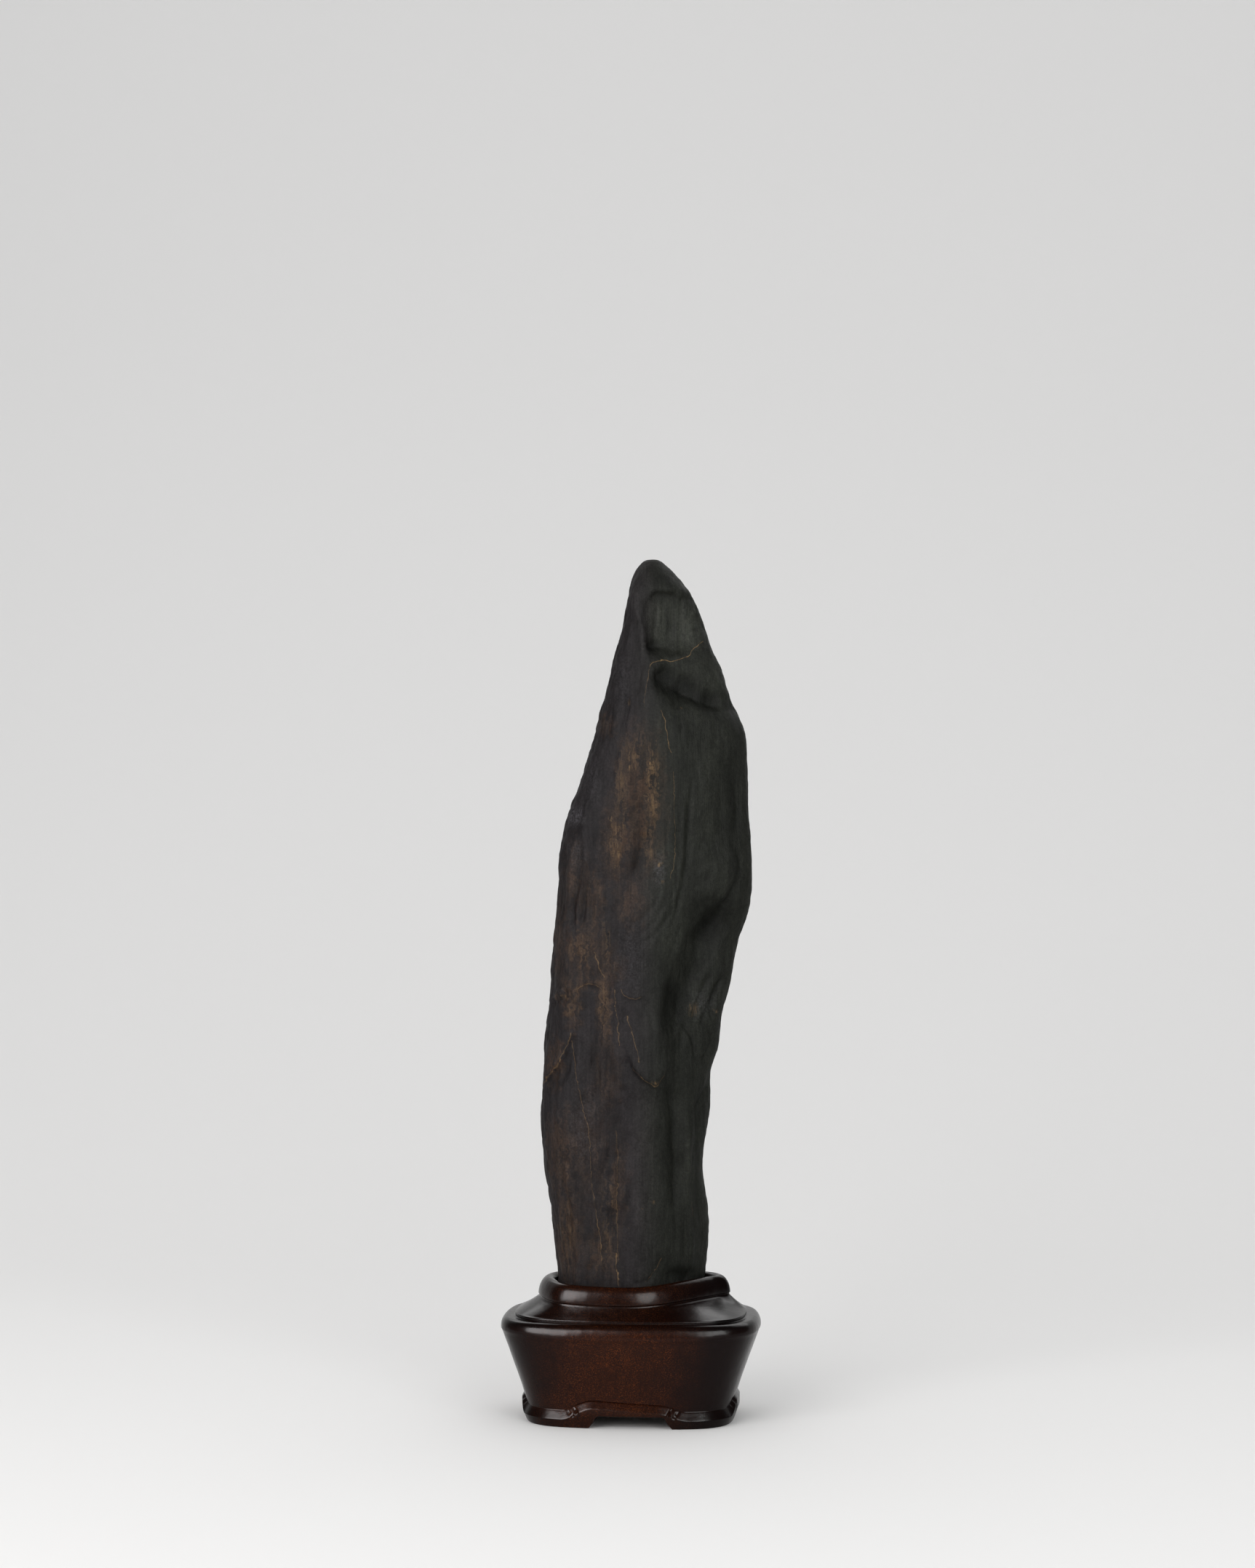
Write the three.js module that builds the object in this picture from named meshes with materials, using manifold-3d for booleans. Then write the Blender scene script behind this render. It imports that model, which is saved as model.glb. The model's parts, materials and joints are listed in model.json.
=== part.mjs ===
// A scholar's rock standing in its carved hardwood stand. Millimetres, +Z up, the viewer's side towards -Y.
// The origin is the middle of the stand's footprint, on the surface that it stands on.
import * as THREE from "three";
import { mergeVertices } from "three/addons/utils/BufferGeometryUtils.js";
import Module from "manifold-3d";

// ---- Driving dimensions ----

const STAND = {
  lipX: 53.6, // half width at the lip, the widest place
  lipY: 35, // half depth at the lip
  lipCorner: 18, // corner radius at the lip
  bodyX: 42.9, // half width of the side panels just above the feet
  bodyY: 29.2, // half depth there
  bodyCorner: 15,
  bodyFoot: 12, // height where the panels start to be drawn, above the plinth
  panelBow: 0.7, // how far the panels bow out on their way up
  lipHeight: 38.4, // height of the lip's widest place
  lipIn: 3.2, // how far its rounded shoulder goes in
  lipRise: 4.1, // how far the shoulder rises
  panelGap: 1.2, // how far below the lip's widest place the panels end
  borderX: 47.8, // half width of the step on top, where the border ends and the raised top starts
  borderY: 29.6, // half depth there
  borderCorner: 17,
  bow: 0.12, // how much all four sides bow out between the corners
  stepFoot: 42.6, // height of the step's foot
  stepTop: 43.9, // height of its arris
  stepRound: 0.4, // how far the arris is worn
  footProud: 2, // how far the plinth stands proud of the panels
  footToe: 2.2, // how far the feet tuck in again at the surface
  footEdge: 0.6, // width of the feet's worn lower edge
  footLift: 0.8, // height of that edge
  underside: 8, // height of the recessed underside
  footDepth: 9, // width of the rim that the feet stand on
};

// The gaps between the feet, narrower at the top than at the surface. The front one is a little off the middle.
const ARCH = { frontHalf: 17, frontShift: 2, sideHalf: 9.5, height: 5.2, lean: 2.2, corner: 2.5 };

// The plinth's upper edge: its height in the middle of each side and at the corners, and where it swings down
// between the two, from the side's middle. Its sloping top starts lower by the slope.
const PLINTH = { frontHigh: 10.4, sideHigh: 12, low: 7, frontSwing: [15, 24], sideSwing: [9, 16], slope: 3.2 };

// The raised top between the step and the collar is hollow: shares of the way in, and of the rise.
const RAISED_TOP = [[0.25, 0.17], [0.5, 0.39], [0.75, 0.67], [0.97, 1]];

const COLLAR = {
  base: 49.3, // height of the crisp line where the collar stands on the raised top, at the front
  bead: 1, // height of the small fillet under that line
  crest: 56.6, // height of the collar's crest at the front
  endRise: 1.3, // how much higher both run at the two ends
  frontWidth: 5.4, // from its outer edge to the pocket's mouth, in front
  sideWidth: 6.8, // the same at the ends
  pocketFloor: 46,
};

const FACE_TURN = THREE.MathUtils.degToRad(5); // the stone stands turned a little to the right in its stand

// The stone stands a little left of the stand's middle.
const STONE = {
  foot: 46.3,
  top: 354,
  footShrink: 0.97,
  shiftX: -0.5,
  tipX: 9.3, // where its tip is
  tipRows: [3.4, 1.4, 0.4], // depth of the closer rows that round the tip off
};

const COLUMNS = 72; // faces round the stand
const STONE_COLUMNS = 48; // faces round the stone
const STONE_LEVEL = 5.6; // height between the stone's rows

// The edge of the pocket's mouth, anticlockwise from the right tip. It follows the stone's foot: flat at the
// front left, falling back to the right.
const MOUTH = [
  [35, 2], [30, 11.5], [16, 19.5], [-4, 22], [-21, 18], [-29, 9],
  [-31.2, 0], [-28.5, -11.5], [-23, -18.8], [-9, -21.3], [4, -20.9], [13, -16.8], [22, -10], [29.5, -3.5],
];

// ---- The stone's lines ----
// Each line runs up the stone and is a list of [height, x, y]. A level section of the stone is a smooth closed
// curve through all of them, in this order, seen from above: from the left edge along the front to the right
// edge, and round the back.

const STONE_LINES = {
  leftEdge: [
    [46, -29, 0], [60, -29.8, 0], [80, -31.8, 0], [100, -34.5, -1], [125, -36.6, -2], [143, -35.5, -1],
    [160, -34.3, 0], [185, -32.5, 0], [200, -31.4, 0], [213, -29.6, 0], [225, -29.6, 0], [236, -28.7, 1],
    [247, -26.2, 1], [260, -21.3, 1], [285, -13.7, 1], [305, -8, 1], [325, -3.5, 1], [338, -1.2, 1],
    [346, 0.2, 0.8], [350, 2.2, 0.5], [354, 6, 0],
  ],
  frontLeftShoulder: [
    [46, -24, -15.5], [60, -24.8, -16], [100, -28.5, -15.5], [125, -30.5, -15.5], [160, -28.5, -15],
    [200, -25.5, -15], [225, -23.5, -14.5], [247, -19.5, -13.5], [285, -8.5, -12.5], [325, -0.5, -9.5],
    [345, 1.8, -6], [354, 7.2, -1.6],
  ],
  frontFace: [
    [46, -11, -19.4], [60, -11, -20], [100, -12.5, -20.5], [125, -13, -20.6], [160, -13.5, -20],
    [200, -10, -20], [225, -8, -19.2], [247, -5.5, -18.4], [285, 0, -17], [312, 2.5, -13.5],
    [330, 1.8, -11.5], [345, 3.4, -8], [354, 8.2, -2.2],
  ],
  crease: [
    [46, 3, -19.3], [58, 6.5, -20], [90, 8.5, -20.6], [115, 10, -21.4], [138, 10.5, -23.6], [150, 11, -24],
    [170, 11.5, -22.6], [190, 9.5, -21.6], [215, 13.5, -21.6], [240, 18, -20.8], [262, 17.6, -20.4],
    [280, 15.5, -19.8], [293, 11, -19], [303, 8, -17.6], [312, 8.6, -15.6], [322, 5.6, -13.6],
    [335, 4.8, -12.4], [346, 5.4, -9.2], [354, 9.4, -2.5],
  ],
  rightHollow: [
    [46, 14, -14], [60, 17, -14.4], [90, 17.5, -15], [115, 18, -15.6], [138, 19, -15], [158, 19.5, -13.5],
    [175, 21.5, -12.5], [190, 24, -13.5], [215, 26, -17], [240, 27, -17.2], [262, 27, -17], [280, 25.5, -16.6],
    [293, 22, -15], [303, 19, -12.5], [312, 17.5, -12.6], [322, 14, -10], [335, 12.5, -10.2],
    [346, 10, -9], [354, 10.6, -2.2],
  ],
  rightFold: [
    [46, 21, -8.4], [60, 23.5, -9], [90, 23.8, -11], [115, 24, -12], [138, 26, -10.5], [158, 27.5, -9],
    [175, 30, -8], [190, 32, -8.5], [215, 36.5, -13], [240, 36.5, -12], [262, 36.5, -11.4], [280, 36, -11.6],
    [293, 33, -11.5], [303, 30.5, -9.5], [312, 26.5, -8.6], [322, 23.5, -7], [335, 19.5, -7],
    [346, 14.8, -6.4], [354, 11.5, -1.6],
  ],
  rightShoulder: [
    [46, 27, -2.4], [60, 29.2, -2.6], [90, 29.5, -4], [115, 29, -5], [138, 31.5, -4.5], [158, 34.6, -3.5],
    [175, 37.2, -3.2], [190, 39.5, -3.5], [215, 46, -6.5], [240, 45.6, -5.6], [262, 45, -5], [280, 44.8, -5.4],
    [293, 40.6, -5], [303, 37, -4.4], [312, 33, -4], [322, 30, -3.2], [335, 25.2, -3], [346, 18, -2.6],
    [354, 12, -0.8],
  ],
  rightEdge: [
    [46, 30, 3], [58, 31.3, 3], [78, 33.4, 3], [90, 32.2, 3], [104, 30.1, 3], [118, 31.8, 3], [130, 33.8, 3],
    [143, 33.8, 3], [155, 38.1, 3], [160, 37.2, 3], [175, 41, 3], [188, 43.6, 3], [197, 45.6, 3],
    [208, 49.3, 3], [220, 50.7, 3], [250, 49.9, 3], [272, 48.3, 3], [283, 48, 3], [292, 43.6, 3],
    [300, 40.8, 3], [310, 37.5, 3], [317, 33.6, 3], [325, 32.1, 3], [335, 28, 2.6], [345, 21.3, 2],
    [350, 17, 1.4], [354, 12, 0.3],
  ],
  backRight: [
    [46, 25, 12], [60, 27, 12.5], [90, 27.4, 13], [130, 28.5, 13.5], [158, 32, 14], [190, 37.5, 14.5],
    [220, 43.5, 15], [255, 43, 14.5], [283, 41, 13.5], [303, 34, 12], [325, 26, 9.5], [346, 15, 5.4],
    [354, 11, 1.6],
  ],
  backHigh: [
    [46, 10, 18], [60, 11, 18.5], [90, 12, 19.5], [130, 12, 20.5], [158, 15, 20], [190, 18, 21],
    [220, 22, 22], [255, 23, 21], [283, 22, 18.5], [303, 19, 16.5], [325, 15, 13], [346, 10.6, 7],
    [354, 9.8, 2.2],
  ],
  backLow: [
    [46, -9, 19], [60, -9.5, 19.5], [90, -11, 20.5], [130, -12, 21.5], [158, -11, 21], [190, -7, 20],
    [220, -4, 19.5], [255, 1, 18], [283, 5, 16.5], [303, 6, 15], [325, 6, 12], [346, 6.4, 6.6],
    [354, 8.2, 2],
  ],
  backLeft: [
    [46, -23.5, 12], [60, -24.5, 12.5], [90, -27.5, 13], [130, -30.5, 13.5], [158, -28.5, 13],
    [190, -26.5, 12.5], [220, -22, 12], [255, -15, 11.5], [283, -6.5, 10.5], [303, -2, 10], [325, 0.6, 8.4],
    [346, 2.6, 4.4], [354, 7.2, 1.2],
  ],
};

// Hollows and swellings on the stone's front. Each runs from one [x, height] to another, with a radius on each
// side of that line, and goes inwards by its depth, or outwards where the depth is negative.
const STONE_RELIEF = [
  { from: [12, 334], to: [13, 319], radius: 7, depth: 2.2 }, // broken scoop under the tip
  { from: [22, 330], to: [22, 321], radius: 6, depth: 1.2 },
  { from: [9, 344], to: [20, 342], radius: 4, depth: -1 }, // the tip overhangs it
  { from: [15, 304], to: [40, 295], radius: 4.5, depth: 2.2 }, // slanting valley under the scoop
  { from: [32, 304], to: [36, 302], radius: 5, depth: -1 }, // smooth facet above the valley
  { from: [40, 272], to: [41, 240], radius: 5, depth: 1.6 }, // long hollow beside the right edge
  { from: [43, 218], to: [32, 203], radius: 6, depth: 2.6 }, // the big slanting hollow
  { from: [32, 203], to: [18, 168], radius: 6.5, depth: 3.2 },
  { from: [36, 226], to: [36, 212], radius: 6, depth: -1.2 },
  { from: [20, 134], to: [20, 96], radius: 3.5, depth: 1.6 }, // gutter low on the right face
  { from: [6, 152], to: [8, 142], radius: 7, depth: -1.2 }, // tongue that hangs over the lower half
  { from: [2, 132], to: [16, 131], radius: 4, depth: 1.2 },
  { from: [14, 57], to: [22, 56], radius: 4.5, depth: 1.6 }, // hollow above the collar
];

// ---- Shared helpers ----

const lerp = (a, b, t) => a + (b - a) * t;

// The value at a height on a list of [height, ...values], on smooth curves that never overshoot a turn.
function along(rows, height, column) {
  const last = rows.length - 1;
  if (height <= rows[0][0]) return rows[0][column];
  if (height >= rows[last][0]) return rows[last][column];
  const i = rows.findIndex((row) => row[0] > height) - 1;
  const slope = (k) => {
    if (k <= 0 || k >= last) return 0;
    const before = (rows[k][column] - rows[k - 1][column]) / (rows[k][0] - rows[k - 1][0]);
    const after = (rows[k + 1][column] - rows[k][column]) / (rows[k + 1][0] - rows[k][0]);
    return (before + after) / 2;
  };
  const end = (k) => {
    const other = k === 0 ? 1 : last - 1;
    return (rows[other][column] - rows[k][column]) / (rows[other][0] - rows[k][0]);
  };
  const slopeAt = (k) => (k === 0 || k === last ? end(k) : slope(k));
  const span = rows[i + 1][0] - rows[i][0];
  const t = (height - rows[i][0]) / span;
  const [a, b] = [rows[i][column], rows[i + 1][column]];
  const [m, n] = [slopeAt(i) * span, slopeAt(i + 1) * span];
  return (2 * t ** 3 - 3 * t ** 2 + 1) * a + (t ** 3 - 2 * t ** 2 + t) * m
    + (3 * t ** 2 - 2 * t ** 3) * b + (t ** 3 - t ** 2) * n;
}

// A closed surface through rings of points, each ring anticlockwise and above the last, with a fan on each end.
function skin(rings, firstTip, lastTip) {
  const count = rings[0].length;
  const positions = [...rings.flat(), firstTip, lastTip].flat();
  const faces = [];
  const tips = [rings.length * count, rings.length * count + 1];
  for (let i = 0; i < count; i += 1) {
    const next = (i + 1) % count;
    for (let k = 0; k + 1 < rings.length; k += 1) {
      const [a, b, c, d] = [k * count + i, k * count + next, (k + 1) * count + next, (k + 1) * count + i];
      faces.push(a, b, c, a, c, d);
    }
    const top = (rings.length - 1) * count;
    faces.push(tips[0], next, i, tips[1], top + i, top + next);
  }
  const geometry = new THREE.BufferGeometry();
  geometry.setAttribute("position", new THREE.Float32BufferAttribute(positions, 3));
  geometry.setIndex(faces);
  return geometry;
}

// ---- The stone ----

function pressIn(x, z) {
  let depth = 0;
  for (const mark of STONE_RELIEF) {
    const [ax, az] = mark.from;
    const [dx, dz] = [mark.to[0] - ax, mark.to[1] - az];
    const t = THREE.MathUtils.clamp(((x - ax) * dx + (z - az) * dz) / (dx * dx + dz * dz), 0, 1);
    const distance = Math.hypot(x - ax - t * dx, z - az - t * dz);
    depth += mark.depth * Math.exp(-((distance / mark.radius) ** 2));
  }
  return depth;
}

function stoneSection(z) {
  const places = Object.values(STONE_LINES).map(
    (rows) => new THREE.Vector3(along(rows, z, 1), along(rows, z, 2), z),
  );
  const curve = new THREE.CatmullRomCurve3(places, true, "centripetal");
  return curve.getSpacedPoints(STONE_COLUMNS).slice(0, STONE_COLUMNS).map((p) => {
    const front = THREE.MathUtils.smoothstep(-p.y, -2, 6);
    return [p.x, p.y + front * pressIn(p.x, z), z];
  });
}

function stoneGeometry() {
  const domed = STONE.top - STONE_LEVEL;
  const levels = Math.round((domed - STONE.foot) / STONE_LEVEL);
  const rings = [];
  for (let k = 0; k <= levels; k += 1) {
    rings.push(stoneSection(lerp(STONE.foot, domed, k / levels)));
  }
  for (const down of STONE.tipRows) rings.push(stoneSection(STONE.top - down));
  rings[0] = rings[0].map(([x, y, z]) => [x * STONE.footShrink, y * STONE.footShrink, z]);
  return skin(rings, [0, 0, STONE.foot], [STONE.tipX, 0, STONE.top]);
}

// ---- The stand ----

// A place on the outline of a rounded block with gently bowed sides: the one that faces a given direction.
function blockPlace(facing, halfX, halfY, corner) {
  const [c, s, e] = [Math.cos(facing), Math.sin(facing), STAND.bow];
  const k = Math.hypot(1, e);
  const coreX = k * (halfX - corner) - e * (halfY - corner);
  const coreY = k * (halfY - corner) - e * (halfX - corner);
  const [alongX, alongY] = [coreX / Math.hypot(c, e), coreY / Math.hypot(s, e)];
  return [
    c * (alongX * k * k + alongY * e * e + corner),
    s * (alongY * k * k + alongX * e * e + corner),
  ];
}

// How far the same block reaches from its middle in one direction, found by halving.
function blockRadius(angle, halfX, halfY, corner) {
  const target = Math.atan2(Math.abs(Math.sin(angle)), Math.abs(Math.cos(angle)));
  let [low, high] = [0, Math.PI / 2];
  for (let turn = 0; turn < 40; turn += 1) {
    const middle = (low + high) / 2;
    const [x, y] = blockPlace(middle, halfX, halfY, corner);
    if (Math.atan2(y, x) < target) low = middle;
    else high = middle;
  }
  return Math.hypot(...blockPlace(low, halfX, halfY, corner));
}

const mouthCurve = new THREE.CatmullRomCurve3(
  MOUTH.map(([x, y]) => new THREE.Vector3(x, y, 0)), true, "centripetal",
);
// Each place on the mouth as [direction, distance] from the stand's middle, turned and moved with the stone.
const mouthPlaces = mouthCurve.getSpacedPoints(720).map((p) => {
  const place = p.applyAxisAngle(new THREE.Vector3(0, 0, 1), FACE_TURN);
  place.x += STONE.shiftX;
  return [Math.atan2(place.y, place.x), Math.hypot(place.x, place.y)];
});

// How far the pocket's mouth reaches from the middle in one direction.
function mouthRadius(angle) {
  const gap = ([at]) => Math.abs(Math.atan2(Math.sin(at - angle), Math.cos(at - angle)));
  return mouthPlaces.reduce((best, place) => (gap(place) < gap(best) ? place : best))[1];
}

// Height of the plinth's upper edge: high in the middle of each side, and dipping at the corners, with the
// swing between the two at a small carved scroll.
function plinthTop(angle) {
  const front = Math.abs(Math.cos(angle)) * STAND.bodyY < Math.abs(Math.sin(angle)) * STAND.bodyX;
  const place = front
    ? STAND.bodyY * Math.abs(Math.cos(angle) / Math.sin(angle))
    : STAND.bodyX * Math.abs(Math.sin(angle) / Math.cos(angle));
  const swing = front ? PLINTH.frontSwing : PLINTH.sideSwing;
  const high = front ? PLINTH.frontHigh : PLINTH.sideHigh;
  return lerp(high, PLINTH.low, THREE.MathUtils.smoothstep(place, ...swing));
}

// How much a place on the collar is lifted: not at all in front, and most at the two ends.
function endRise(angle) {
  return COLLAR.endRise * Math.cos(angle) ** 2;
}

// Width of the collar's band, from the pocket's mouth outwards.
function collarWidth(angle) {
  return lerp(COLLAR.frontWidth, COLLAR.sideWidth, Math.cos(angle) ** 2);
}

function standGeometry() {
  const columns = [...Array(COLUMNS).keys()].map((i) => {
    const even = (2 * Math.PI * i) / COLUMNS;
    return Math.atan2(STAND.lipY * Math.sin(even), STAND.lipX * Math.cos(even));
  });
  const columnRing = (radius, height) => columns.map((angle) => {
    const r = radius(angle);
    return [r * Math.cos(angle), r * Math.sin(angle), height(angle)];
  });
  const block = (x, y, corner) => (angle) => blockRadius(angle, x, y, corner);
  const foot = (out) => block(STAND.bodyX + out, STAND.bodyY + out, STAND.bodyCorner + out);
  const lip = (inwards) => block(STAND.lipX - inwards, STAND.lipY - inwards, STAND.lipCorner - inwards);
  const border = (inwards) => block(
    STAND.borderX - inwards, STAND.borderY - inwards, STAND.borderCorner - inwards,
  );
  const level = (z) => () => z;
  // The share of the collar's band that lies inside a place on its section.
  const collar = (share) => (angle) => mouthRadius(angle) + collarWidth(angle) * share;

  const under = foot(-STAND.footDepth);
  const rings = [
    columnRing(under, level(STAND.underside)),
    columnRing(under, level(0)),
    columnRing(foot(STAND.footProud - STAND.footToe - STAND.footEdge), level(0)),
    columnRing(foot(STAND.footProud - STAND.footToe), level(STAND.footLift)),
    columnRing(foot(STAND.footProud), (angle) => plinthTop(angle) - PLINTH.slope),
    columnRing(foot(0.2), plinthTop),
  ];
  const panelTop = STAND.lipHeight - STAND.panelGap;
  for (const t of [0.3, 0.65, 1]) {
    const bow = STAND.panelBow * 4 * t * (1 - t);
    const taperX = lerp(STAND.bodyX, STAND.lipX - 0.4, t) + bow;
    const taperY = lerp(STAND.bodyY, STAND.lipY - 0.4, t) + bow;
    const corner = lerp(STAND.bodyCorner, STAND.lipCorner, t);
    rings.push(columnRing(block(taperX, taperY, corner), level(lerp(STAND.bodyFoot, panelTop, t))));
  }
  for (const turn of [0, 0.33, 0.62, 0.85]) {
    const inwards = STAND.lipIn * (1 - Math.cos((turn * Math.PI) / 2));
    const up = STAND.lipRise * Math.sin((turn * Math.PI) / 2);
    rings.push(columnRing(lip(inwards), level(STAND.lipHeight + up)));
  }
  rings.push(
    columnRing(border(0), level(STAND.stepFoot)),
    columnRing(border(0), level(STAND.stepTop - STAND.stepRound)),
    columnRing(border(STAND.stepRound), level(STAND.stepTop)),
  );
  for (const [inwards, rise] of RAISED_TOP) {
    const outline = (angle) => lerp(border(STAND.stepRound)(angle), collar(0.95)(angle), inwards);
    const fillet = COLLAR.base - COLLAR.bead;
    rings.push(columnRing(outline, (angle) => lerp(STAND.stepTop, fillet + endRise(angle), rise)));
  }
  // The collar's section, as shares of its width and of its height above the crisp line.
  const section = [[0.97, 0], [1, 0.06], [0.95, 0.34], [0.82, 0.64], [0.54, 0.97], [0.2, 0.96], [0, 0.75]];
  for (const [share, rise] of section) {
    const height = lerp(COLLAR.base, COLLAR.crest, rise);
    rings.push(columnRing(collar(share), (angle) => height + endRise(angle)));
  }
  rings.push(columnRing(collar(0), level(COLLAR.pocketFloor)));
  return skin(rings, [0, 0, STAND.underside], [0, 0, COLLAR.pocketFloor]);
}

// A gap between the feet, as a bar that runs right through the stand with round upper corners.
function archBar(half, length, turned) {
  const shape = new THREE.Shape();
  const r = ARCH.corner;
  const side = half - ARCH.lean;
  shape.moveTo(-half, -1).lineTo(half, -1).lineTo(half, 0).lineTo(side, ARCH.height - r);
  shape.absarc(side - r, ARCH.height - r, r, 0, Math.PI / 2);
  shape.lineTo(r - side, ARCH.height);
  shape.absarc(r - side, ARCH.height - r, r, Math.PI / 2, Math.PI);
  shape.lineTo(-half, 0);
  shape.closePath();
  const bar = new THREE.ExtrudeGeometry(shape, { depth: length, bevelEnabled: false, curveSegments: 3 });
  bar.translate(0, 0, -length / 2).rotateX(Math.PI / 2);
  return turned ? bar.rotateZ(Math.PI / 2) : bar;
}

// ---- Cutting ----

const wasm = await Module();
wasm.setup();

function solid(geometry) {
  geometry.deleteAttribute("normal");
  geometry.deleteAttribute("uv");
  const merged = mergeVertices(geometry, 1e-4);
  return new wasm.Manifold(new wasm.Mesh({
    numProp: 3,
    vertProperties: new Float32Array(merged.getAttribute("position").array),
    triVerts: new Uint32Array(merged.getIndex().array),
  }));
}

function geometryOf(manifold) {
  const mesh = manifold.getMesh();
  const geometry = new THREE.BufferGeometry();
  geometry.setAttribute("position", new THREE.Float32BufferAttribute(mesh.vertProperties, 3));
  geometry.setIndex(new THREE.Uint32BufferAttribute(mesh.triVerts, 1));
  geometry.computeVertexNormals();
  return geometry;
}

// ---- The object ----

const stoneFinish = new THREE.MeshStandardMaterial({ color: "#3b3937", roughness: 0.62, metalness: 0 });
const woodFinish = new THREE.MeshStandardMaterial({ color: "#3a1b12", roughness: 0.28, metalness: 0 });

const rock = new THREE.Mesh(stoneGeometry(), stoneFinish);
rock.name = "rock";
rock.geometry.computeVertexNormals();
rock.rotation.z = FACE_TURN;
rock.position.x = STONE.shiftX;

const barLength = 2 * STAND.lipX + 20;
const stand = new THREE.Mesh(
  geometryOf(
    solid(standGeometry())
      .subtract(solid(archBar(ARCH.frontHalf, barLength, false).translate(ARCH.frontShift, 0, 0)))
      .subtract(solid(archBar(ARCH.sideHalf, barLength, true))),
  ),
  woodFinish,
);
stand.name = "wood_stand";

const group = new THREE.Group();
group.name = "scholars_rock";
group.add(stand, rock);

export default group;
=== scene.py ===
"""A scholar's rock in its carved hardwood stand: the finished look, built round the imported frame.

Laid out as an add-on and run as a script. Lengths in the tables below are millimetres, and MM turns them
to the scene's metres. +Z is up and the viewer's side is towards -Y.
"""

import json
import math

import bmesh
import bpy
import numpy as np
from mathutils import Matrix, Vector, noise

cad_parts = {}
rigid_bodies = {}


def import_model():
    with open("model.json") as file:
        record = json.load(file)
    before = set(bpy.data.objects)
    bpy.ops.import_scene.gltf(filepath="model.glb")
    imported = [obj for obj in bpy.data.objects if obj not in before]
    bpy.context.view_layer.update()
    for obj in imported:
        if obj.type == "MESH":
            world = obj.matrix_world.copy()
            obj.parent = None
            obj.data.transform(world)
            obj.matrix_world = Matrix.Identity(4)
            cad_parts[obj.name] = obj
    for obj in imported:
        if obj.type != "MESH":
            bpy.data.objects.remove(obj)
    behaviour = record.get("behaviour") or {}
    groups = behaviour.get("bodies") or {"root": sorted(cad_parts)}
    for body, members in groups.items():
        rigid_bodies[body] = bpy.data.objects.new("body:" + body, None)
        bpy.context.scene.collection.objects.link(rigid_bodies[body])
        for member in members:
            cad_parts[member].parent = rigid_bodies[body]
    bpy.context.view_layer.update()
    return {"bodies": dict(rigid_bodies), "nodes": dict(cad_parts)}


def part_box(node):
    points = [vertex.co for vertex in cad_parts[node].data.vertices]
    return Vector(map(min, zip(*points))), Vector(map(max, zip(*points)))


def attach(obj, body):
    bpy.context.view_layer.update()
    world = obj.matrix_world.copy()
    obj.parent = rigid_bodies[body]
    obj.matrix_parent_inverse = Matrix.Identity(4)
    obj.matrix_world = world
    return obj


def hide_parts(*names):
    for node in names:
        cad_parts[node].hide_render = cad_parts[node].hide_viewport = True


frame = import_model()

bl_info = {
    "name": "Scholar's rock on a carved stand",
    "version": (1, 0, 0),
    "blender": (4, 5, 0),
    "location": "3D View > Sidebar > Scholar's Rock",
    "description": "Makes a water-worn stone, its lacquered stand and a plain studio",
    "category": "Add Mesh",
}

MM = 0.001
STAND_BOX = [list(corner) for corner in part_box("wood_stand")]

# ---- Shared helpers ----


def paint(code):
    """Turns an sRGB hex colour to the linear values that shaders and lamps use."""
    parts = [int(code[k : k + 2], 16) / 255 for k in (1, 3, 5)]
    return tuple(c / 12.92 if c <= 0.04045 else ((c + 0.055) / 1.055) ** 2.4 for c in parts)


def smooth(low, high, value):
    """0 below low, 1 above high, and an S-shaped rise between them."""
    t = np.clip((value - low) / (high - low), 0, 1)
    return t * t * (3 - 2 * t)


def lerp(a, b, t):
    """The value a share t of the way from a to b."""
    return a + (b - a) * t


def flowing(points, steps=6, closed=False):
    """A smooth curve through points, as more points: a Catmull-Rom spline with a few steps in each span."""
    p = np.array(points, dtype=float)
    if closed:
        p = np.concatenate([p[-1:], p, p[:2]])
    else:
        p = np.concatenate([2 * p[:1] - p[1:2], p, 2 * p[-1:] - p[-2:-1]])
    curve = []
    for a, b, c, d in zip(p, p[1:], p[2:], p[3:]):
        for t in np.arange(steps) / steps:
            curve.append(
                b + 0.5 * t * (c - a + t * (2 * a - 5 * b + 4 * c - d + t * (3 * (b - c) + d - a)))
            )
    if not closed:
        curve.append(p[-2])
    return np.array(curve)


def near(distance, reach):
    """A bell: 1 on a line or a place, and falling to little at about twice its reach."""
    return np.exp(-((distance / reach) ** 2))


def from_line(x, z, line):
    """Each place's distance from a curve, with its sign, and how far along the curve the nearest point is.
    The distance is positive on the left of the curve's direction."""
    nearest = np.full(x.shape, 1e9)
    signed = np.full(x.shape, 1e9)
    share = np.zeros(x.shape)
    for k, ((ax, az), (bx, bz)) in enumerate(zip(line, line[1:])):
        dx, dz = bx - ax, bz - az
        t = np.clip(((x - ax) * dx + (z - az) * dz) / (dx * dx + dz * dz), 0, 1)
        away = np.hypot(x - ax - t * dx, z - az - t * dz)
        side = np.sign(dx * (z - az) - dz * (x - ax))
        closer = away < nearest
        nearest = np.where(closer, away, nearest)
        signed = np.where(closer, away * side, signed)
        share = np.where(closer, (k + t) / (len(line) - 1), share)
    return signed, share


def rough(places, scale, seed):
    """Soft noise from -1 to 1 at each place. Scale is the size of its lumps along X, Y and Z."""
    shift = Vector((seed * 17.3, seed * 5.9, seed * 11.1))
    sx, sy, sz = scale
    return np.array([noise.noise(Vector((x / sx, y / sy, z / sz)) + shift) for x, y, z in places])


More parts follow.
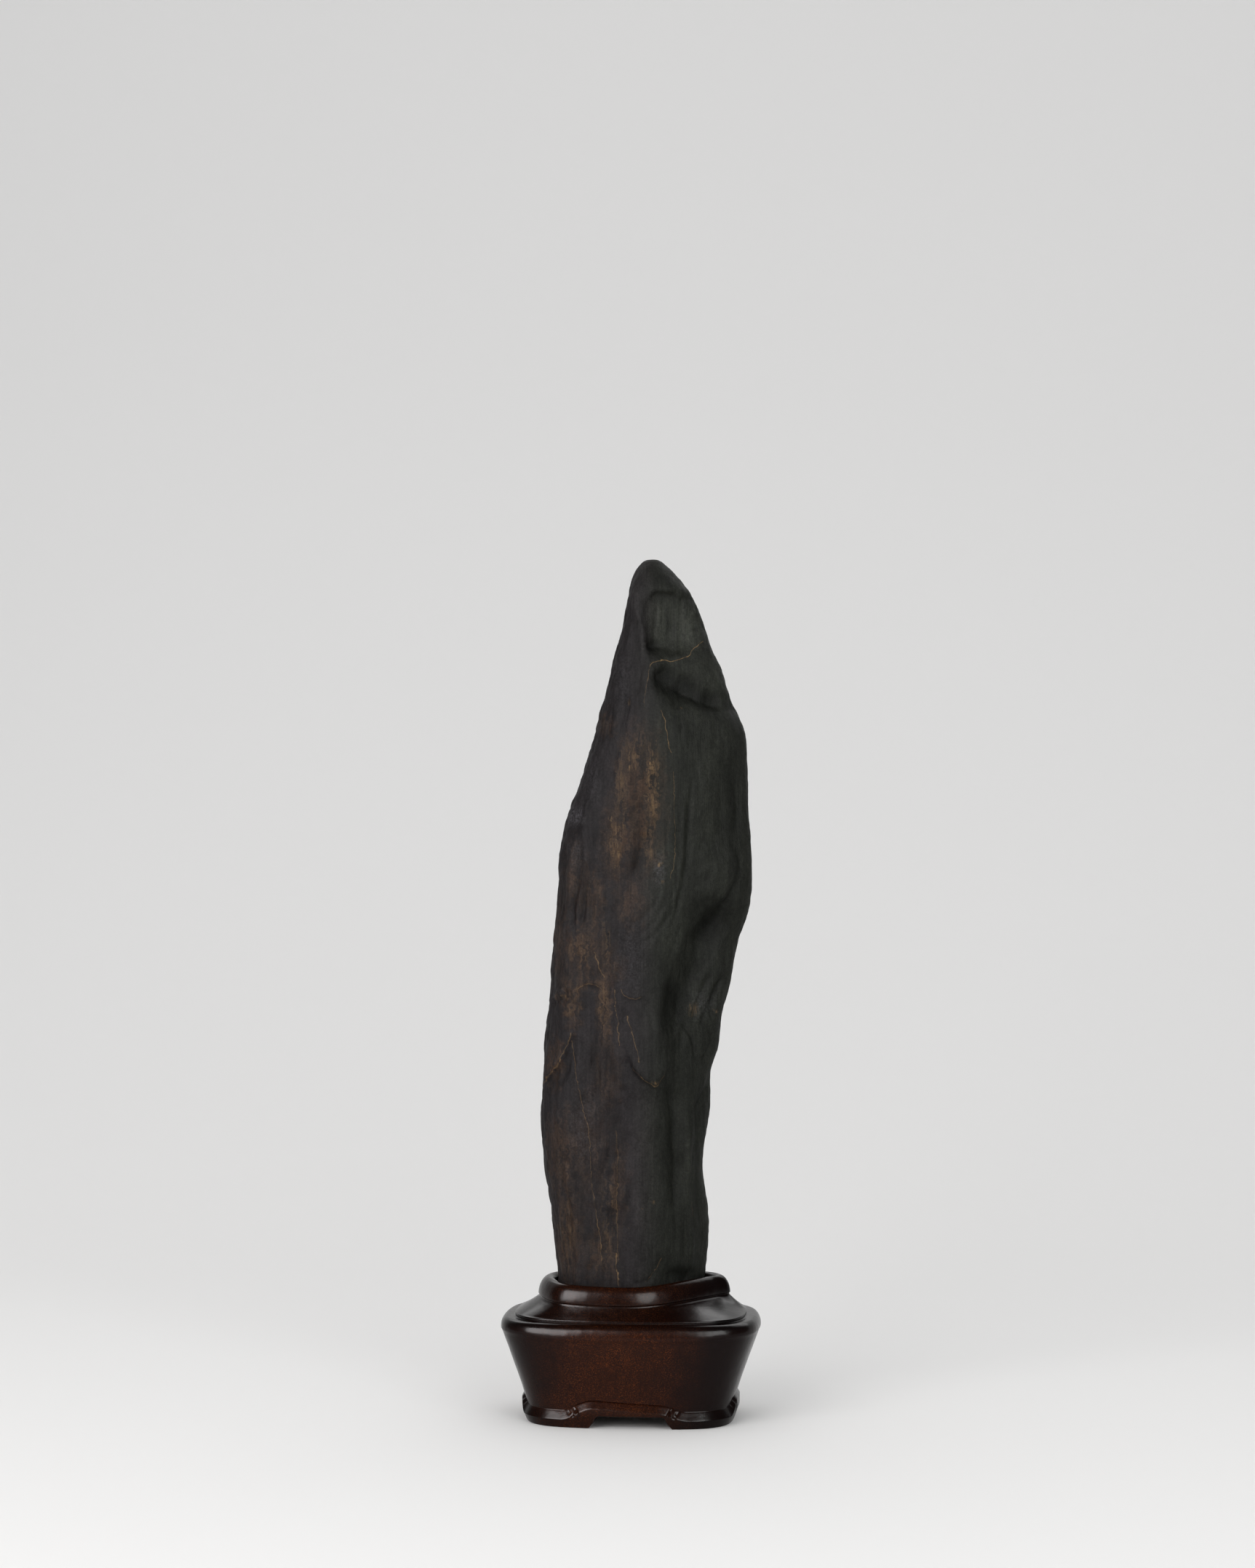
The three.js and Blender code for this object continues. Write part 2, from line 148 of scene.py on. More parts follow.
def lump(*sizes):
    """The scale of a pattern whose lumps have these sizes in millimetres, along each axis."""
    return tuple(1 / size for size in sizes)


def link(name, mesh):
    """Puts a mesh in the scene as an object at the origin."""
    piece = bpy.data.objects.new(name, mesh)
    bpy.context.scene.collection.objects.link(piece)
    return piece


class Nodes:
    """A material's node tree, with one short way to add a node."""

    def __init__(self, name):
        self.material = bpy.data.materials.new(name)
        self.material.use_nodes = True
        self.tree = self.material.node_tree
        self.shader = self.tree.nodes["Principled BSDF"]

    def feed(self, node, inputs):
        """Gives a node's inputs their values, or the outputs that they are linked to."""
        for key, value in inputs.items():
            if isinstance(value, bpy.types.NodeSocket):
                self.tree.links.new(value, node.inputs[key])
            else:
                node.inputs[key].default_value = value

    def add(self, kind, inputs=None, out=0, **settings):
        """Adds a node with its own settings and its inputs. It gives back one of the node's outputs, or the
        node itself where out is None."""
        node = self.tree.nodes.new("ShaderNode" + kind)
        for key, value in settings.items():
            setattr(node, key, value)
        self.feed(node, inputs or {})
        return node if out is None else node.outputs[out]


# ---- The stone ----
# The stone stands turned a little to the right in its stand, and a little left of the middle.

STONE_TURN = math.radians(5)
STONE_SHIFT = -0.5

# Marks on its face are placed as they show to a viewer straight in front of it, on the plane through its
# middle: x to the right, then height.
VIEWER_AWAY = 1300
VIEWER_UP = 261

# Worn grooves and creases: half width, depth, and the curve. A negative depth is a ridge.
FLUTES = {
    "left_arris_of_the_tip": (1.3, -0.5, [(2.2, 346), (2.6, 334), (5.2, 322), (7.2, 315), (8.4, 310)]),
    "shallow_beside_the_arris": (2.2, 0.45, [(0.4, 338), (1.6, 322), (3.6, 308), (3.2, 296)]),
    "valley_under_the_scoop": (4.6, 1.6, [(10, 310), (14, 305.5), (20, 301), (29, 296.8), (42, 292)]),
    "sharp_bottom_of_the_valley": (1.4, 0.5, [(19, 301.6), (27, 297.2), (34, 294.6), (42, 291.6)]),
    "second_valley": (2.6, 0.25, [(11, 309), (12.4, 303), (16, 297), (22, 293.4)]),
    "crack_of_the_right_face": (1.15, 0.5, [
        (25.4, 260), (24.3, 250), (24, 240), (23.4, 230), (21.8, 220), (19.4, 210), (17, 200),
    ]),
    "swell_beside_the_crack": (1.6, -0.4, [(22.6, 256), (21.6, 240), (20.6, 228), (18.4, 214)]),
    "flow_one": (0.9, 0.3, [(20.8, 252), (20.4, 238), (19.4, 224), (16, 208)]),
    "flow_two": (0.8, 0.28, [(16.6, 226), (14.6, 214), (10.6, 205), (5.5, 199.5)]),
    "flow_three": (0.8, 0.26, [(12.8, 219), (9.6, 210.5), (4.2, 205.4), (0, 203.8)]),
    "flow_four": (0.8, 0.26, [(18, 212), (14, 203.5), (9, 197.5), (3.5, 194)]),
    "dark_leaf": (2.3, 0.95, [(6.4, 241), (5.4, 236), (3.2, 229), (1.6, 222)]),
    "hollow_by_the_right_edge": (3.6, 0.8, [(41, 272), (43.4, 262), (44, 250), (43.4, 238)]),
    "second_right_hollow": (2.2, 0.5, [(35.4, 262), (37.2, 250), (39, 238)]),
    "right_swell": (5.2, -0.9, [(34, 230), (37.5, 222), (36, 212)]),
    "edge_of_the_right_swell": (1.6, 0.8, [(43.4, 234), (45.4, 228), (42.6, 218), (37.4, 208), (33, 202)]),
    "great_hollow": (6.6, 1.3, [(40, 214), (33.5, 204), (28, 194), (23, 182), (18, 169), (14.4, 156)]),
    "great_hollow_left_bank": (2, -0.35, [(24, 205), (18.5, 190), (14, 176), (11, 163), (10, 151)]),
    "great_hollow_right_bank": (1.4, -0.35, [(34.6, 190), (28, 178), (22.4, 165), (17.8, 153)]),
    "curtain_fold_one": (1.1, 0.75, [(33.4, 184), (30.4, 177), (27.6, 170), (26, 163)]),
    "curtain_fold_two": (1.1, 0.75, [(39.4, 184), (36.2, 176), (33.4, 168.6), (34.4, 162.4)]),
    "curtain_fold_three": (0.8, 0.5, [(36.6, 180), (34, 174), (31.4, 167), (29, 160)]),
    "rumple": (0.9, 0.5, [(19.6, 164), (23, 160), (26, 154), (26.8, 148)]),
    "rumple_low": (1, 0.45, [(30.6, 164), (33.6, 157), (32.6, 151), (28, 146)]),
    "curl_under_the_tongue": (1.1, 0.2, [(-3.2, 140), (-2.2, 134), (0.6, 130.6), (4.4, 130.4), (6.6, 133.4)]),
    "gutter": (2.2, 1.1, [(15.8, 137), (17.8, 128), (18.6, 112), (18.4, 96), (17.6, 82)]),
    "rib_beside_the_gutter": (1.2, -0.6, [(22.8, 130), (23.6, 112), (23.8, 94), (24.6, 74), (25, 62)]),
    "right_strip": (1.3, 0.5, [(27.6, 128), (27.4, 112), (27.6, 96), (28.4, 80)]),
    "right_low_edge": (1, 0.5, [(33.8, 143), (32.4, 136.6), (29, 130), (27, 124)]),
    "fang_one": (1.5, 0.8, [(-20.6, 238), (-21.8, 225), (-23.6, 212), (-24.4, 201)]),
    "fang_two": (1.2, 0.7, [(-17.4, 232), (-18.4, 220), (-19.8, 209), (-20.4, 201.5)]),
    "fang_three": (1.1, 0.6, [(-14.8, 226), (-15.8, 214), (-16.8, 202)]),
    "left_side_flute": (1.5, 0.5, [(-27, 236), (-28, 220), (-28.6, 205)]),
    "left_ledge_hollow": (2.4, 0.5, [(-22.6, 152), (-26, 144), (-30.4, 137), (-34, 131)]),
    "long_flute_one": (2, 0.55, [(-14.4, 170), (-13.8, 155), (-14, 140), (-13, 128)]),
    "long_flute_two": (1.6, 0.45, [(-8.6, 160), (-8, 140), (-8.8, 118), (-8.6, 96)]),
    "long_flute_three": (1.4, 0.45, [(-5.2, 128), (-5, 108), (-5.6, 88), (-5, 66)]),
    "long_flute_four": (2.2, 0.4, [(-20.4, 118), (-19.6, 100), (-18, 82), (-16.4, 66)]),
    "left_low_flute": (1.7, 0.5, [(-27, 100), (-26, 84), (-24.6, 68), (-23.8, 58)]),
    "swell_of_the_middle": (3.4, -0.5, [(2, 128), (3, 110), (3, 90), (4, 72)]),
    "rim_of_the_low_lobe": (1.1, 0.3, [
        (-4.6, 70), (-3.6, 63), (-0.8, 57), (3, 54.6), (8, 56), (11.4, 61), (13.2, 66),
    ]),
    "dark_foot_hollow": (3, 1, [(15, 58.6), (20, 57.4), (26, 57.4)]),
    "scar_crossing": (0.5, 0.3, [(-4.8, 308.6), (-2.8, 304.6), (0, 308.4), (3.4, 312.6)]),
    "old_chip": (0.9, 0.6, [(-1.8, 297.4), (-0.7, 294.6), (-1.2, 291)]),
    "seam_below_the_chip": (0.6, 0.35, [(-0.6, 293), (-2, 287), (-3, 281)]),
}

# Ledges, where the stone above or left of a curve stands proud of the stone beyond it: reach, height, curve.
LEDGES = {
    "cap_over_the_scoop": (3, 0.4, [(23.4, 336.4), (20.8, 338.6), (17.6, 341), (12, 340.8), (8, 340)]),
    "tongue_tip": (4.6, 0.5, [
        (16.2, 146), (14.8, 142.4), (13.2, 139), (10.4, 136), (7.6, 137.6), (4, 140.4), (0.8, 144),
        (-0.6, 149),
    ]),
    "small_step": (2.4, 0.35, [(5.6, 173), (1, 172.2), (-2.2, 173.4), (-4, 176.4)]),
    "left_facet": (4, 0.6, [(-24, 157.6), (-27.2, 149), (-31.4, 143), (-35.6, 137.4)]),
    "left_crumb": (2.2, 0.6, [(-27.4, 176.6), (-28.6, 173), (-32.6, 170.4)]),
    "shoulder_break": (3, 0.28, [(-18.6, 243.6), (-22, 243.2), (-25.6, 243.6)]),
    "arc_step": (2.2, 0.25, [(-11.4, 175.2), (-14.6, 177.8), (-18.8, 178), (-21.6, 175.6), (-22, 169)]),
}

# The broken scoop under the tip: its upper edge and the crack that bounds it below, as x and height.
SCOOP_TOP = [
    (6.4, 339), (10.2, 341.4), (17.6, 341.2), (20.3, 339), (22.4, 339.8), (26, 337.6), (30, 330.6), (33, 324),
]
SCOOP_CRACK = [(6, 309.6), (8.3, 310.6), (10.3, 312), (17.5, 312), (22.6, 313), (26.7, 317.2), (31, 320.6)]
SCOOP = {
    "wall": 6.3, "depth": 1.6, "middle": 17, "half_width": 7.5, "shallow_above": (318, 338),
    "pocket": (10.2, 318.8), "pocket_size": (3.2, 1.9), "pocket_depth": 1.6,
    "ribs": (18, 325, 24), "rib_depth": 0.45, "rib_size": (1.8, 1, 34), "ribs_from": (316, 322),
}

# The stone's back, which has the same water-worn character. X is still to the right as seen from the front.
BACK_FLUTES = {
    "back_long_hollow": (5, 1.5, [(18, 300), (16, 262), (8, 226), (-2, 190), (-8, 160)]),
    "back_second_hollow": (3.4, 1.1, [(34, 268), (32, 236), (26, 206), (20, 176), (20, 140)]),
    "back_third_hollow": (3, 0.9, [(-14, 236), (-20, 206), (-22, 170), (-18, 132), (-20, 98)]),
    "back_rib": (2.4, -0.8, [(24, 290), (24, 252), (17, 214), (8, 178), (4, 140), (6, 100)]),
    "back_low_rib": (2.2, -0.7, [(-10, 150), (-12, 120), (-8, 92), (-10, 66)]),
    "back_groove": (1.1, 0.8, [(4, 270), (0, 244), (-8, 220), (-12, 196)]),
    "back_short_groove": (1.1, 0.7, [(12, 158), (10, 136), (14, 112), (12, 84)]),
    "back_gutter": (2, 1, [(26, 126), (23, 104), (24, 82), (22, 64)]),
    "back_scar": (1.4, 0.6, [(14, 330), (18, 318), (26, 310)]),
}
BACK_LEDGES = {
    "back_ledge": (5, 1, [(30, 212), (22, 204), (14, 202), (6, 206)]),
    "back_low_ledge": (4, 0.8, [(2, 120), (-6, 114), (-16, 118), (-24, 126)]),
}

# Nothing is carved in the collar, and little on the rounded tip: the heights between which each fade runs.
# The lines of the front and of the back fade out where the stone turns to its sides.
COLLAR_FADE = (47, 52)
TIP_FADE = (352, 343)
SIDE_FADE = (0.02, 0.4)

# Natural relief: the size of its lumps along X, Y and Z, how deep it is, and the seed of its noise.
LUMPS = [((9, 9, 40), 0.45, 1), ((15, 15, 22), 0.4, 2)]
GRAIN = [((2.2, 2.2, 5), 0.14, 3), ((1.5, 1.5, 2.2), 0.09, 4)]
DENTS = [((4.2, 4.2, 15), 1, 12), ((2.6, 2.6, 6), 0.6, 13)]
# How far the carved lines wander to the side and along, and how much their depth varies.
ASIDE = ((6, 6, 11), 0.8, 8)
ALONG = ((9, 9, 9), 1.3, 9)
UNEVEN = ((5, 5, 13), 0.55, 11)


class StoneSettings(bpy.types.PropertyGroup):
    """The stone's own sizes and colours."""

    grid: bpy.props.FloatProperty(
        name="Grid", description="Size of the faces of the stone's skin", default=0.84 * MM, unit="LENGTH"
    )
    relief: bpy.props.FloatProperty(
        name="Relief", description="Share of the listed depth of every groove and ledge", default=1.45,
        subtype="FACTOR",
    )
    charcoal: bpy.props.FloatVectorProperty(
        name="Charcoal", description="The stone's main colour", subtype="COLOR", default=paint("#211e1f")
    )
    green: bpy.props.FloatVectorProperty(
        name="Green black", description="Colour of the right face", subtype="COLOR", default=paint("#20211d")
    )
    umber: bpy.props.FloatVectorProperty(
        name="Umber", description="Colour of the brown streaks", subtype="COLOR", default=paint("#35271e")
    )
    tan: bpy.props.FloatVectorProperty(
        name="Tan", description="Colour of the strongest stains", subtype="COLOR", default=paint("#42352b")
    )
    bloom: bpy.props.FloatVectorProperty(
        name="Bloom", description="Colour of the dusty grey bloom", subtype="COLOR", default=paint("#434144")
    )
    cream: bpy.props.FloatVectorProperty(
        name="Cream", description="Colour of the calcite specks and veins", subtype="COLOR",
        default=paint("#8a6f4d"),
    )


def stone_frame(places):
    """Turns places in the part's frame, in millimetres, to the stone's own frame."""
    c, s = math.cos(STONE_TURN), math.sin(STONE_TURN)
    x, y = places[:, 0] - STONE_SHIFT, places[:, 1]
    return np.stack([x * c + y * s, y * c - x * s, places[:, 2]], axis=1)


def as_seen(local, side):
    """Where places in the stone's frame show to a viewer in front of it, or behind it where side is 1."""
    nearer = VIEWER_AWAY / (VIEWER_AWAY - side * local[:, 1])
    return local[:, 0] * nearer, VIEWER_UP + (local[:, 2] - VIEWER_UP) * nearer


def cut_flutes(x, z, flutes):
    """How far the grooves and ridges go in at each place. Each is shallower towards its two ends."""
    depth = np.zeros(x.shape)
    for half_width, deep, points in flutes.values():
        away, share = from_line(x, z, flowing(points))
        ends = smooth(0, 0.18, share) * smooth(0, 0.18, 1 - share)
        depth += deep * near(away, half_width) * lerp(0.25, 1, ends)
    return depth


def cut_ledges(x, z, ledges):
    """How far the ledges go in at each place: out on a curve's left, and in on its right."""
    edge = 0.55
    depth = np.zeros(x.shape)
    for reach, high, points in ledges.values():
        away, share = from_line(x, z, flowing(points))
        ends = smooth(0, 0.12, share) * smooth(0, 0.12, 1 - share)
        depth += high * np.tanh(away / edge) * near(away, reach) * ends
    return depth


def cut_scoop(x, z):
    """The broken hollow under the tip: steep at its left and top, running out at the crack below it."""
    top = np.interp(x, *zip(*SCOOP_TOP))
    crack = np.interp(x, *zip(*SCOOP_CRACK))
    inside = smooth(-0.3, 0.9, x - SCOOP["wall"]) * smooth(0, 2.2, top - z) * smooth(0, 6, z - crack)
    bowl = lerp(0.12, 1, near(x - SCOOP["middle"], SCOOP["half_width"]))
    bowl = SCOOP["depth"] * bowl * lerp(1, 0.45, smooth(*SCOOP["shallow_above"], z))
    (pocket_x, pocket_z), (half_x, half_z) = SCOOP["pocket"], SCOOP["pocket_size"]
    pocket = SCOOP["pocket_depth"] * near(x - pocket_x, half_x) * near(z - pocket_z, half_z)
    ribs_x, ribs_z, reach = SCOOP["ribs"]
    close = np.hypot(x - ribs_x, z - ribs_z) < reach
    ribs = np.zeros(x.shape)
    flat = np.stack([x, 0 * x, z], axis=1)
    ribs[close] = SCOOP["rib_depth"] * rough(flat[close], SCOOP["rib_size"], 10)
    return inside * (bowl + pocket + ribs * smooth(*SCOOP["ribs_from"], z))


def strongest(x, z, patches, edge):
    """The strength of the strongest of some soft-edged patches at each place."""
    level = np.zeros(x.shape)
    for middle_x, middle_z, half_x, half_z, strength in patches:
        away = np.hypot((x - middle_x) / half_x, (z - middle_z) / half_z)
        level = np.maximum(level, strength * smooth(0, edge, 1 - away))
    return level


def read_vectors(collection, key, count):
    """Reads a three-part property of every vertex into an array."""
    values = np.empty(count * 3)
    collection.foreach_get(key, values)
    return values.reshape(-1, 3)


def press(mesh, depth):
    """Moves every vertex in along its normal by a depth in millimetres."""
    count = len(mesh.vertices)
    normals = read_vectors(mesh.vertex_normals, "vector", count)
    places = read_vectors(mesh.vertices, "co", count) - normals * depth[:, None] * MM
    mesh.vertices.foreach_set("co", places.ravel())
    mesh.update()


def relax(mesh, rounds):
    """Evens out the skin: each round moves every vertex half way to the middle of its neighbours."""
    count = len(mesh.vertices)
    ends = np.empty(len(mesh.edges) * 2, dtype=int)
    mesh.edges.foreach_get("vertices", ends)
    a, b = ends.reshape(-1, 2).T
    degree = np.bincount(a, minlength=count) + np.bincount(b, minlength=count)
    places = read_vectors(mesh.vertices, "co", count)
    for _ in range(rounds):
        middle = np.stack([
            np.bincount(a, places[b, k], count) + np.bincount(b, places[a, k], count) for k in range(3)
        ], axis=1) / degree[:, None]
        places = lerp(places, middle, 0.5)
    mesh.vertices.foreach_set("co", places.ravel())
    mesh.update()


def stone_skin(settings):
    """A fine even skin over the frame's stone: its faces rounded off, then rebuilt as small squares."""
    bm = bmesh.new()
    bm.from_mesh(frame["nodes"]["rock"].data)
    bmesh.ops.remove_doubles(bm, verts=bm.verts, dist=0.01 * MM)
    bmesh.ops.join_triangles(
        bm, faces=bm.faces, angle_face_threshold=math.radians(60), angle_shape_threshold=math.radians(60)
    )
    blank = bpy.data.meshes.new("stone_blank")
    bm.to_mesh(blank)
    bm.free()
    carrier = link("stone_blank", blank)
    rounding = carrier.modifiers.new("rounding", "SUBSURF")
    rounding.levels = rounding.render_levels = 2
    skin = carrier.modifiers.new("skin", "REMESH")
    skin.mode = "VOXEL"
    skin.voxel_size = settings.grid
    bpy.context.view_layer.update()
    ready = carrier.evaluated_get(bpy.context.evaluated_depsgraph_get())
    mesh = bpy.data.meshes.new_from_object(ready)
    bpy.data.objects.remove(carrier)
    relax(mesh, 4)
    return mesh


def carve_stone(mesh, settings):
    """Carves the face, the back and the fine grain of the surface, from large to small."""
    count = len(mesh.vertices)
    c, s = math.cos(STONE_TURN), math.sin(STONE_TURN)
    local = stone_frame(read_vectors(mesh.vertices, "co", count) / MM)
    normals = read_vectors(mesh.vertex_normals, "vector", count)
    facing = normals[:, 1] * c - normals[:, 0] * s
    front, back = smooth(*SIDE_FADE, -facing), smooth(*SIDE_FADE, facing)
    height = local[:, 2]
    worked = smooth(*COLLAR_FADE, height) * lerp(0.15, 1, smooth(*TIP_FADE, height))

    def natural(size, depth, seed):
        return depth * rough(local, size, seed)

    aside, along = natural(*ASIDE), natural(*ALONG)
    uneven = 1 + natural(*UNEVEN)
    x, z = as_seen(local, -1)
    back_x, back_z = as_seen(local, 1)
    x, z = x + aside, z + along
    back_x, back_z = back_x + aside, back_z + along

    scoop = front * cut_scoop(x, z)
    lumps = sum(natural(*kind) for kind in LUMPS)
    press(mesh, settings.relief * worked * (lumps + scoop))
    ledges = front * cut_ledges(x, z, LEDGES) + back * cut_ledges(back_x, back_z, BACK_LEDGES)
    flutes = front * cut_flutes(x, z, FLUTES) + back * cut_flutes(back_x, back_z, BACK_FLUTES)
    lines = uneven * (ledges + flutes)
    press(mesh, settings.relief * worked * lines)
    # Shallow dents with sharp rims, drawn out along the bedding, cover the left and the back most.
    dents = sum(np.abs(natural(*kind)) for kind in DENTS)
    dented = lerp(0.45, 0.95, smooth(12, -8, local[:, 0] + 60 * back))
    grain = sum(natural(*kind) for kind in GRAIN)
    press(mesh, worked * (grain + dented * (0.25 - dents)))

    lightening, dark = strongest(x, z, LIGHTER_PATCHES, 0.7), strongest(x, z, SHADE_AND_GRIME_PATCHES, 0.75)
    fields = {
        # Painted shade: how deep each place is carved. It darkens the colour in the hollows and lightens it
        # on the ridges.
        "hollow_shade": np.clip(lines + scoop, -1.5, 2.5),
        # The lighter patches brighten the colour, and the darker patches darken it; those are painted shade
        # and grime.
        "patchwork": (1 + LIGHTER_GAIN * front * lightening) * (1 - DARK_LOSS * front * dark),
        # The darker patches of painted shade and grime, which also keep the calcite out.
        "shade_and_grime": dark,
    }
    for name, values in fields.items():
        mesh.attributes.new(name, "FLOAT", "POINT").data.foreach_set("value", values)
    plan = mesh.attributes.new("face_plan", "FLOAT_VECTOR", "POINT")
    plan.data.foreach_set("vector", np.stack([x - aside, local[:, 1], z - along], axis=1).ravel())


# Veins and cracks filled with calcite. Each runs mainly upwards or, where flat is set, across. Its points are
# x and height.
VEINS = {
    "gold_crack": dict(flat=True, width=0.26, strength=0.9, points=[
        (8, 309.5), (10.3, 311.8), (14, 312.2), (18, 312), (22.6, 313), (26.7, 317.2), (30, 320),
    ]),
    "short_pale": dict(flat=False, width=0.2, strength=0.4, points=[(6, 293), (6.4, 299), (8, 309)]),
    "cream_crook": dict(flat=False, width=0.24, strength=0.7, points=[
        (16.8, 274), (15.6, 280), (14.6, 286), (12.6, 291.6),
    ]),
    "thin_green": dict(flat=False, width=0.2, strength=0.4, points=[
        (16.6, 222), (18.2, 231), (18.7, 241), (18.3, 252), (18, 266),
    ]),
    "long_thin": dict(flat=False, width=0.22, strength=0.55, points=[
        (-11.8, 62), (-12.6, 74), (-14.4, 86), (-16, 98), (-16.6, 109), (-17.2, 118), (-19.6, 127),
        (-21.8, 138), (-23.4, 148), (-24.6, 155),
    ]),
    "foot_wedge": dict(flat=False, width=0.42, strength=0.8, points=[(-4.8, 53), (-5.4, 60), (-6, 67)]),
    "left_bow": dict(flat=False, width=0.34, strength=0.42, points=[
        (-35.8, 137), (-32.4, 142), (-28.6, 147.6), (-26, 153), (-24.2, 158),
    ]),
    "orange_lines": dict(flat=False, width=0.3, strength=0.45, points=[
        (-4.6, 153), (-5.2, 163), (-6, 169), (-6.6, 176),
    ]),
    "pale_stroke": dict(flat=False, width=0.34, strength=0.6, points=[
        (-10.8, 181), (-12.8, 186), (-14.5, 192),
    ]),
    "tongue_stroke": dict(flat=False, width=0.3, strength=0.55, points=[
        (3.8, 146), (2.6, 152), (0.8, 158), (-1.2, 165),
    ]),
    "arc": dict(flat=True, width=0.4, strength=0.45, points=[
        (-22, 175), (-19, 178), (-15, 177.9), (-11.4, 175.2),
    ]),
    "step_line": dict(flat=True, width=0.3, strength=0.45, points=[
        (-4, 176), (-2, 173.4), (1, 172.4), (5.2, 172.8),
    ]),
    "tongue_edge": dict(flat=True, width=0.34, strength=0.5, points=[
        (0.6, 144), (4, 140.4), (8, 137.4), (10.4, 136.2), (13.2, 139), (15.2, 142.8),
    ]),
    "low_lobe_line": dict(flat=False, width=0.25, strength=0.4, points=[(6.4, 55), (10, 59), (12.8, 65)]),
    "red_line": dict(flat=False, width=0.4, strength=0.25, points=[
        (-5, 63), (-5.6, 84), (-5.2, 104), (-6, 118),
    ]),
    "low_right_dash": dict(flat=False, width=0.25, strength=0.45, points=[(26, 82), (25.4, 88)]),
}

# Stained patches: centre x and height, half width and half height, and how strong the stain is.
UMBER_PATCHES = [
    (4.5, 254, 15, 42, 1), (-5, 238, 10, 28, 0.85), (-9.6, 285, 6, 7, 0.6), (0, 212, 10, 18, 0.45),
    (-19, 193, 13, 14, 1), (-14.6, 212, 6, 18, 0.8), (-24, 172, 6, 18, 0.95), (-10.5, 168, 5, 22, 0.9),
    (-17, 180, 11, 7, 0.8), (-31, 146, 5, 14, 0.7), (-28, 108, 9, 26, 0.75), (-25, 74, 9, 30, 0.75),
    (-12, 66, 11, 16, 0.7), (-5, 92, 6, 32, 0.5), (-10, 140, 9, 26, 0.4), (-22, 222, 8, 22, 0.5),
    (-8, 186, 9, 14, 0.6), (-17, 110, 12, 40, 0.35), (-29, 196, 4, 30, 0.5),
]
# How much lighter the lighter patches make the stone, and how much darker the patches of painted shade and
# grime.
LIGHTER_GAIN = 1.4
DARK_LOSS = 0.5
# Lighter stone, most of all on the broken scoop under the tip.
LIGHTER_PATCHES = [
    (18, 326, 14, 15, 1), (10.8, 328, 6, 13, 0.95), (34, 303, 8, 7, 0.3), (13, 215, 16, 34, 0.2),
    (33, 255, 12, 30, 0.3), (5, 100, 9, 34, 0.3), (24, 188, 10, 24, 0.3),
]
# Darker patches: painted shade in the hollows, the creases and the scoop's pocket, and grime and old oil
# there and down the left side.
SHADE_AND_GRIME_PATCHES = [
    (14, 305.6, 7.5, 7, 0.55), (21, 302, 11, 6.4, 0.6), (30, 298, 10, 3.4, 0.5), (9.8, 318.6, 3.4, 2.6, 0.6),
    (10.9, 331, 0.9, 9, 0.6), (15.5, 329, 1.4, 9, 0.6), (27.4, 325.4, 3, 1.2, 0.5), (14, 346, 9, 5, 0.35),
    (2.6, 248, 4, 16, 0.75), (2, 231, 3.6, 9, 0.9), (-19.5, 220, 5, 15, 0.7), (-12, 262, 3, 12, 0.5),
    (-5, 304, 10, 24, 0.42), (-18, 260, 7, 16, 0.25), (0.6, 262, 3.6, 10, 0.5), (39, 211, 8, 8, 0.45),
    (33, 200, 11, 10, 0.5), (26, 187, 10, 12, 0.5), (20, 173, 8, 12, 0.45), (39.5, 252, 6, 20, 0.5),
    (43.6, 226, 2.6, 10, 0.4), (-7, 128, 3, 22, 0.35), (-15, 152, 4, 12, 0.45), (20, 58, 12, 6, 0.4),
    (-21, 128, 4, 12, 0.4), (-14, 240, 4, 8, 0.5),
]
# Calcite specks, singly and in clusters.
CREAM_PATCHES = [
    (1, 268, 2, 2.6, 1), (9, 269, 2, 3.2, 1), (-8, 246.6, 1.4, 1.4, 0.9), (-3.4, 243.4, 2.4, 1.5, 1),
    (-4.8, 232, 1.4, 2.6, 0.9), (-5.9, 227, 0.8, 1.8, 1), (12.3, 227.6, 1.6, 1.6, 0.8),
    (13.3, 220.4, 1, 1, 0.8),
    (-21.6, 168, 1, 2.6, 0.8), (-28, 173, 2.6, 1.6, 0.6), (3.4, 147.4, 1.4, 1.2, 0.8),
    (10.2, 137.4, 2.6, 1.2, 0.7), (9.6, 88, 1.2, 1.2, 0.6), (5, 85.4, 1, 0.8, 0.6), (-4.6, 55.6, 1, 3, 0.8),
    (35.2, 167.4, 1, 1.2, 0.7), (21.6, 292.6, 1, 0.8, 0.7), (-0.8, 295, 0.9, 2, 0.7),
    (-3.6, 256, 3.4, 30, 0.32), (9.6, 260, 4, 26, 0.7), (3, 274, 9, 8, 0.36), (8, 238, 5, 16, 0.3),
    (-6, 236, 4, 16, 0.36), (-19, 192, 9, 12, 0.18), (-11, 168, 4, 20, 0.25), (-23, 172, 4, 14, 0.2),
    (26, 168, 4, 4, 0.4), (-26, 74, 5, 22, 0.2), (-9, 84, 5, 30, 0.2), (-10, 195, 3, 14, 0.35),
]
# Dusty grey bloom.
PALE_PATCHES = [
    (-23, 248, 6, 6, 0.8), (-16, 262, 7, 14, 0.25), (-3, 304, 4, 16, 0.3), (-22, 232, 6, 10, 0.3),
    (0, 190, 10, 22, 0.25), (-20, 120, 8, 24, 0.25), (12, 225, 4, 10, 0.4), (30, 170, 9, 8, 0.25),
]


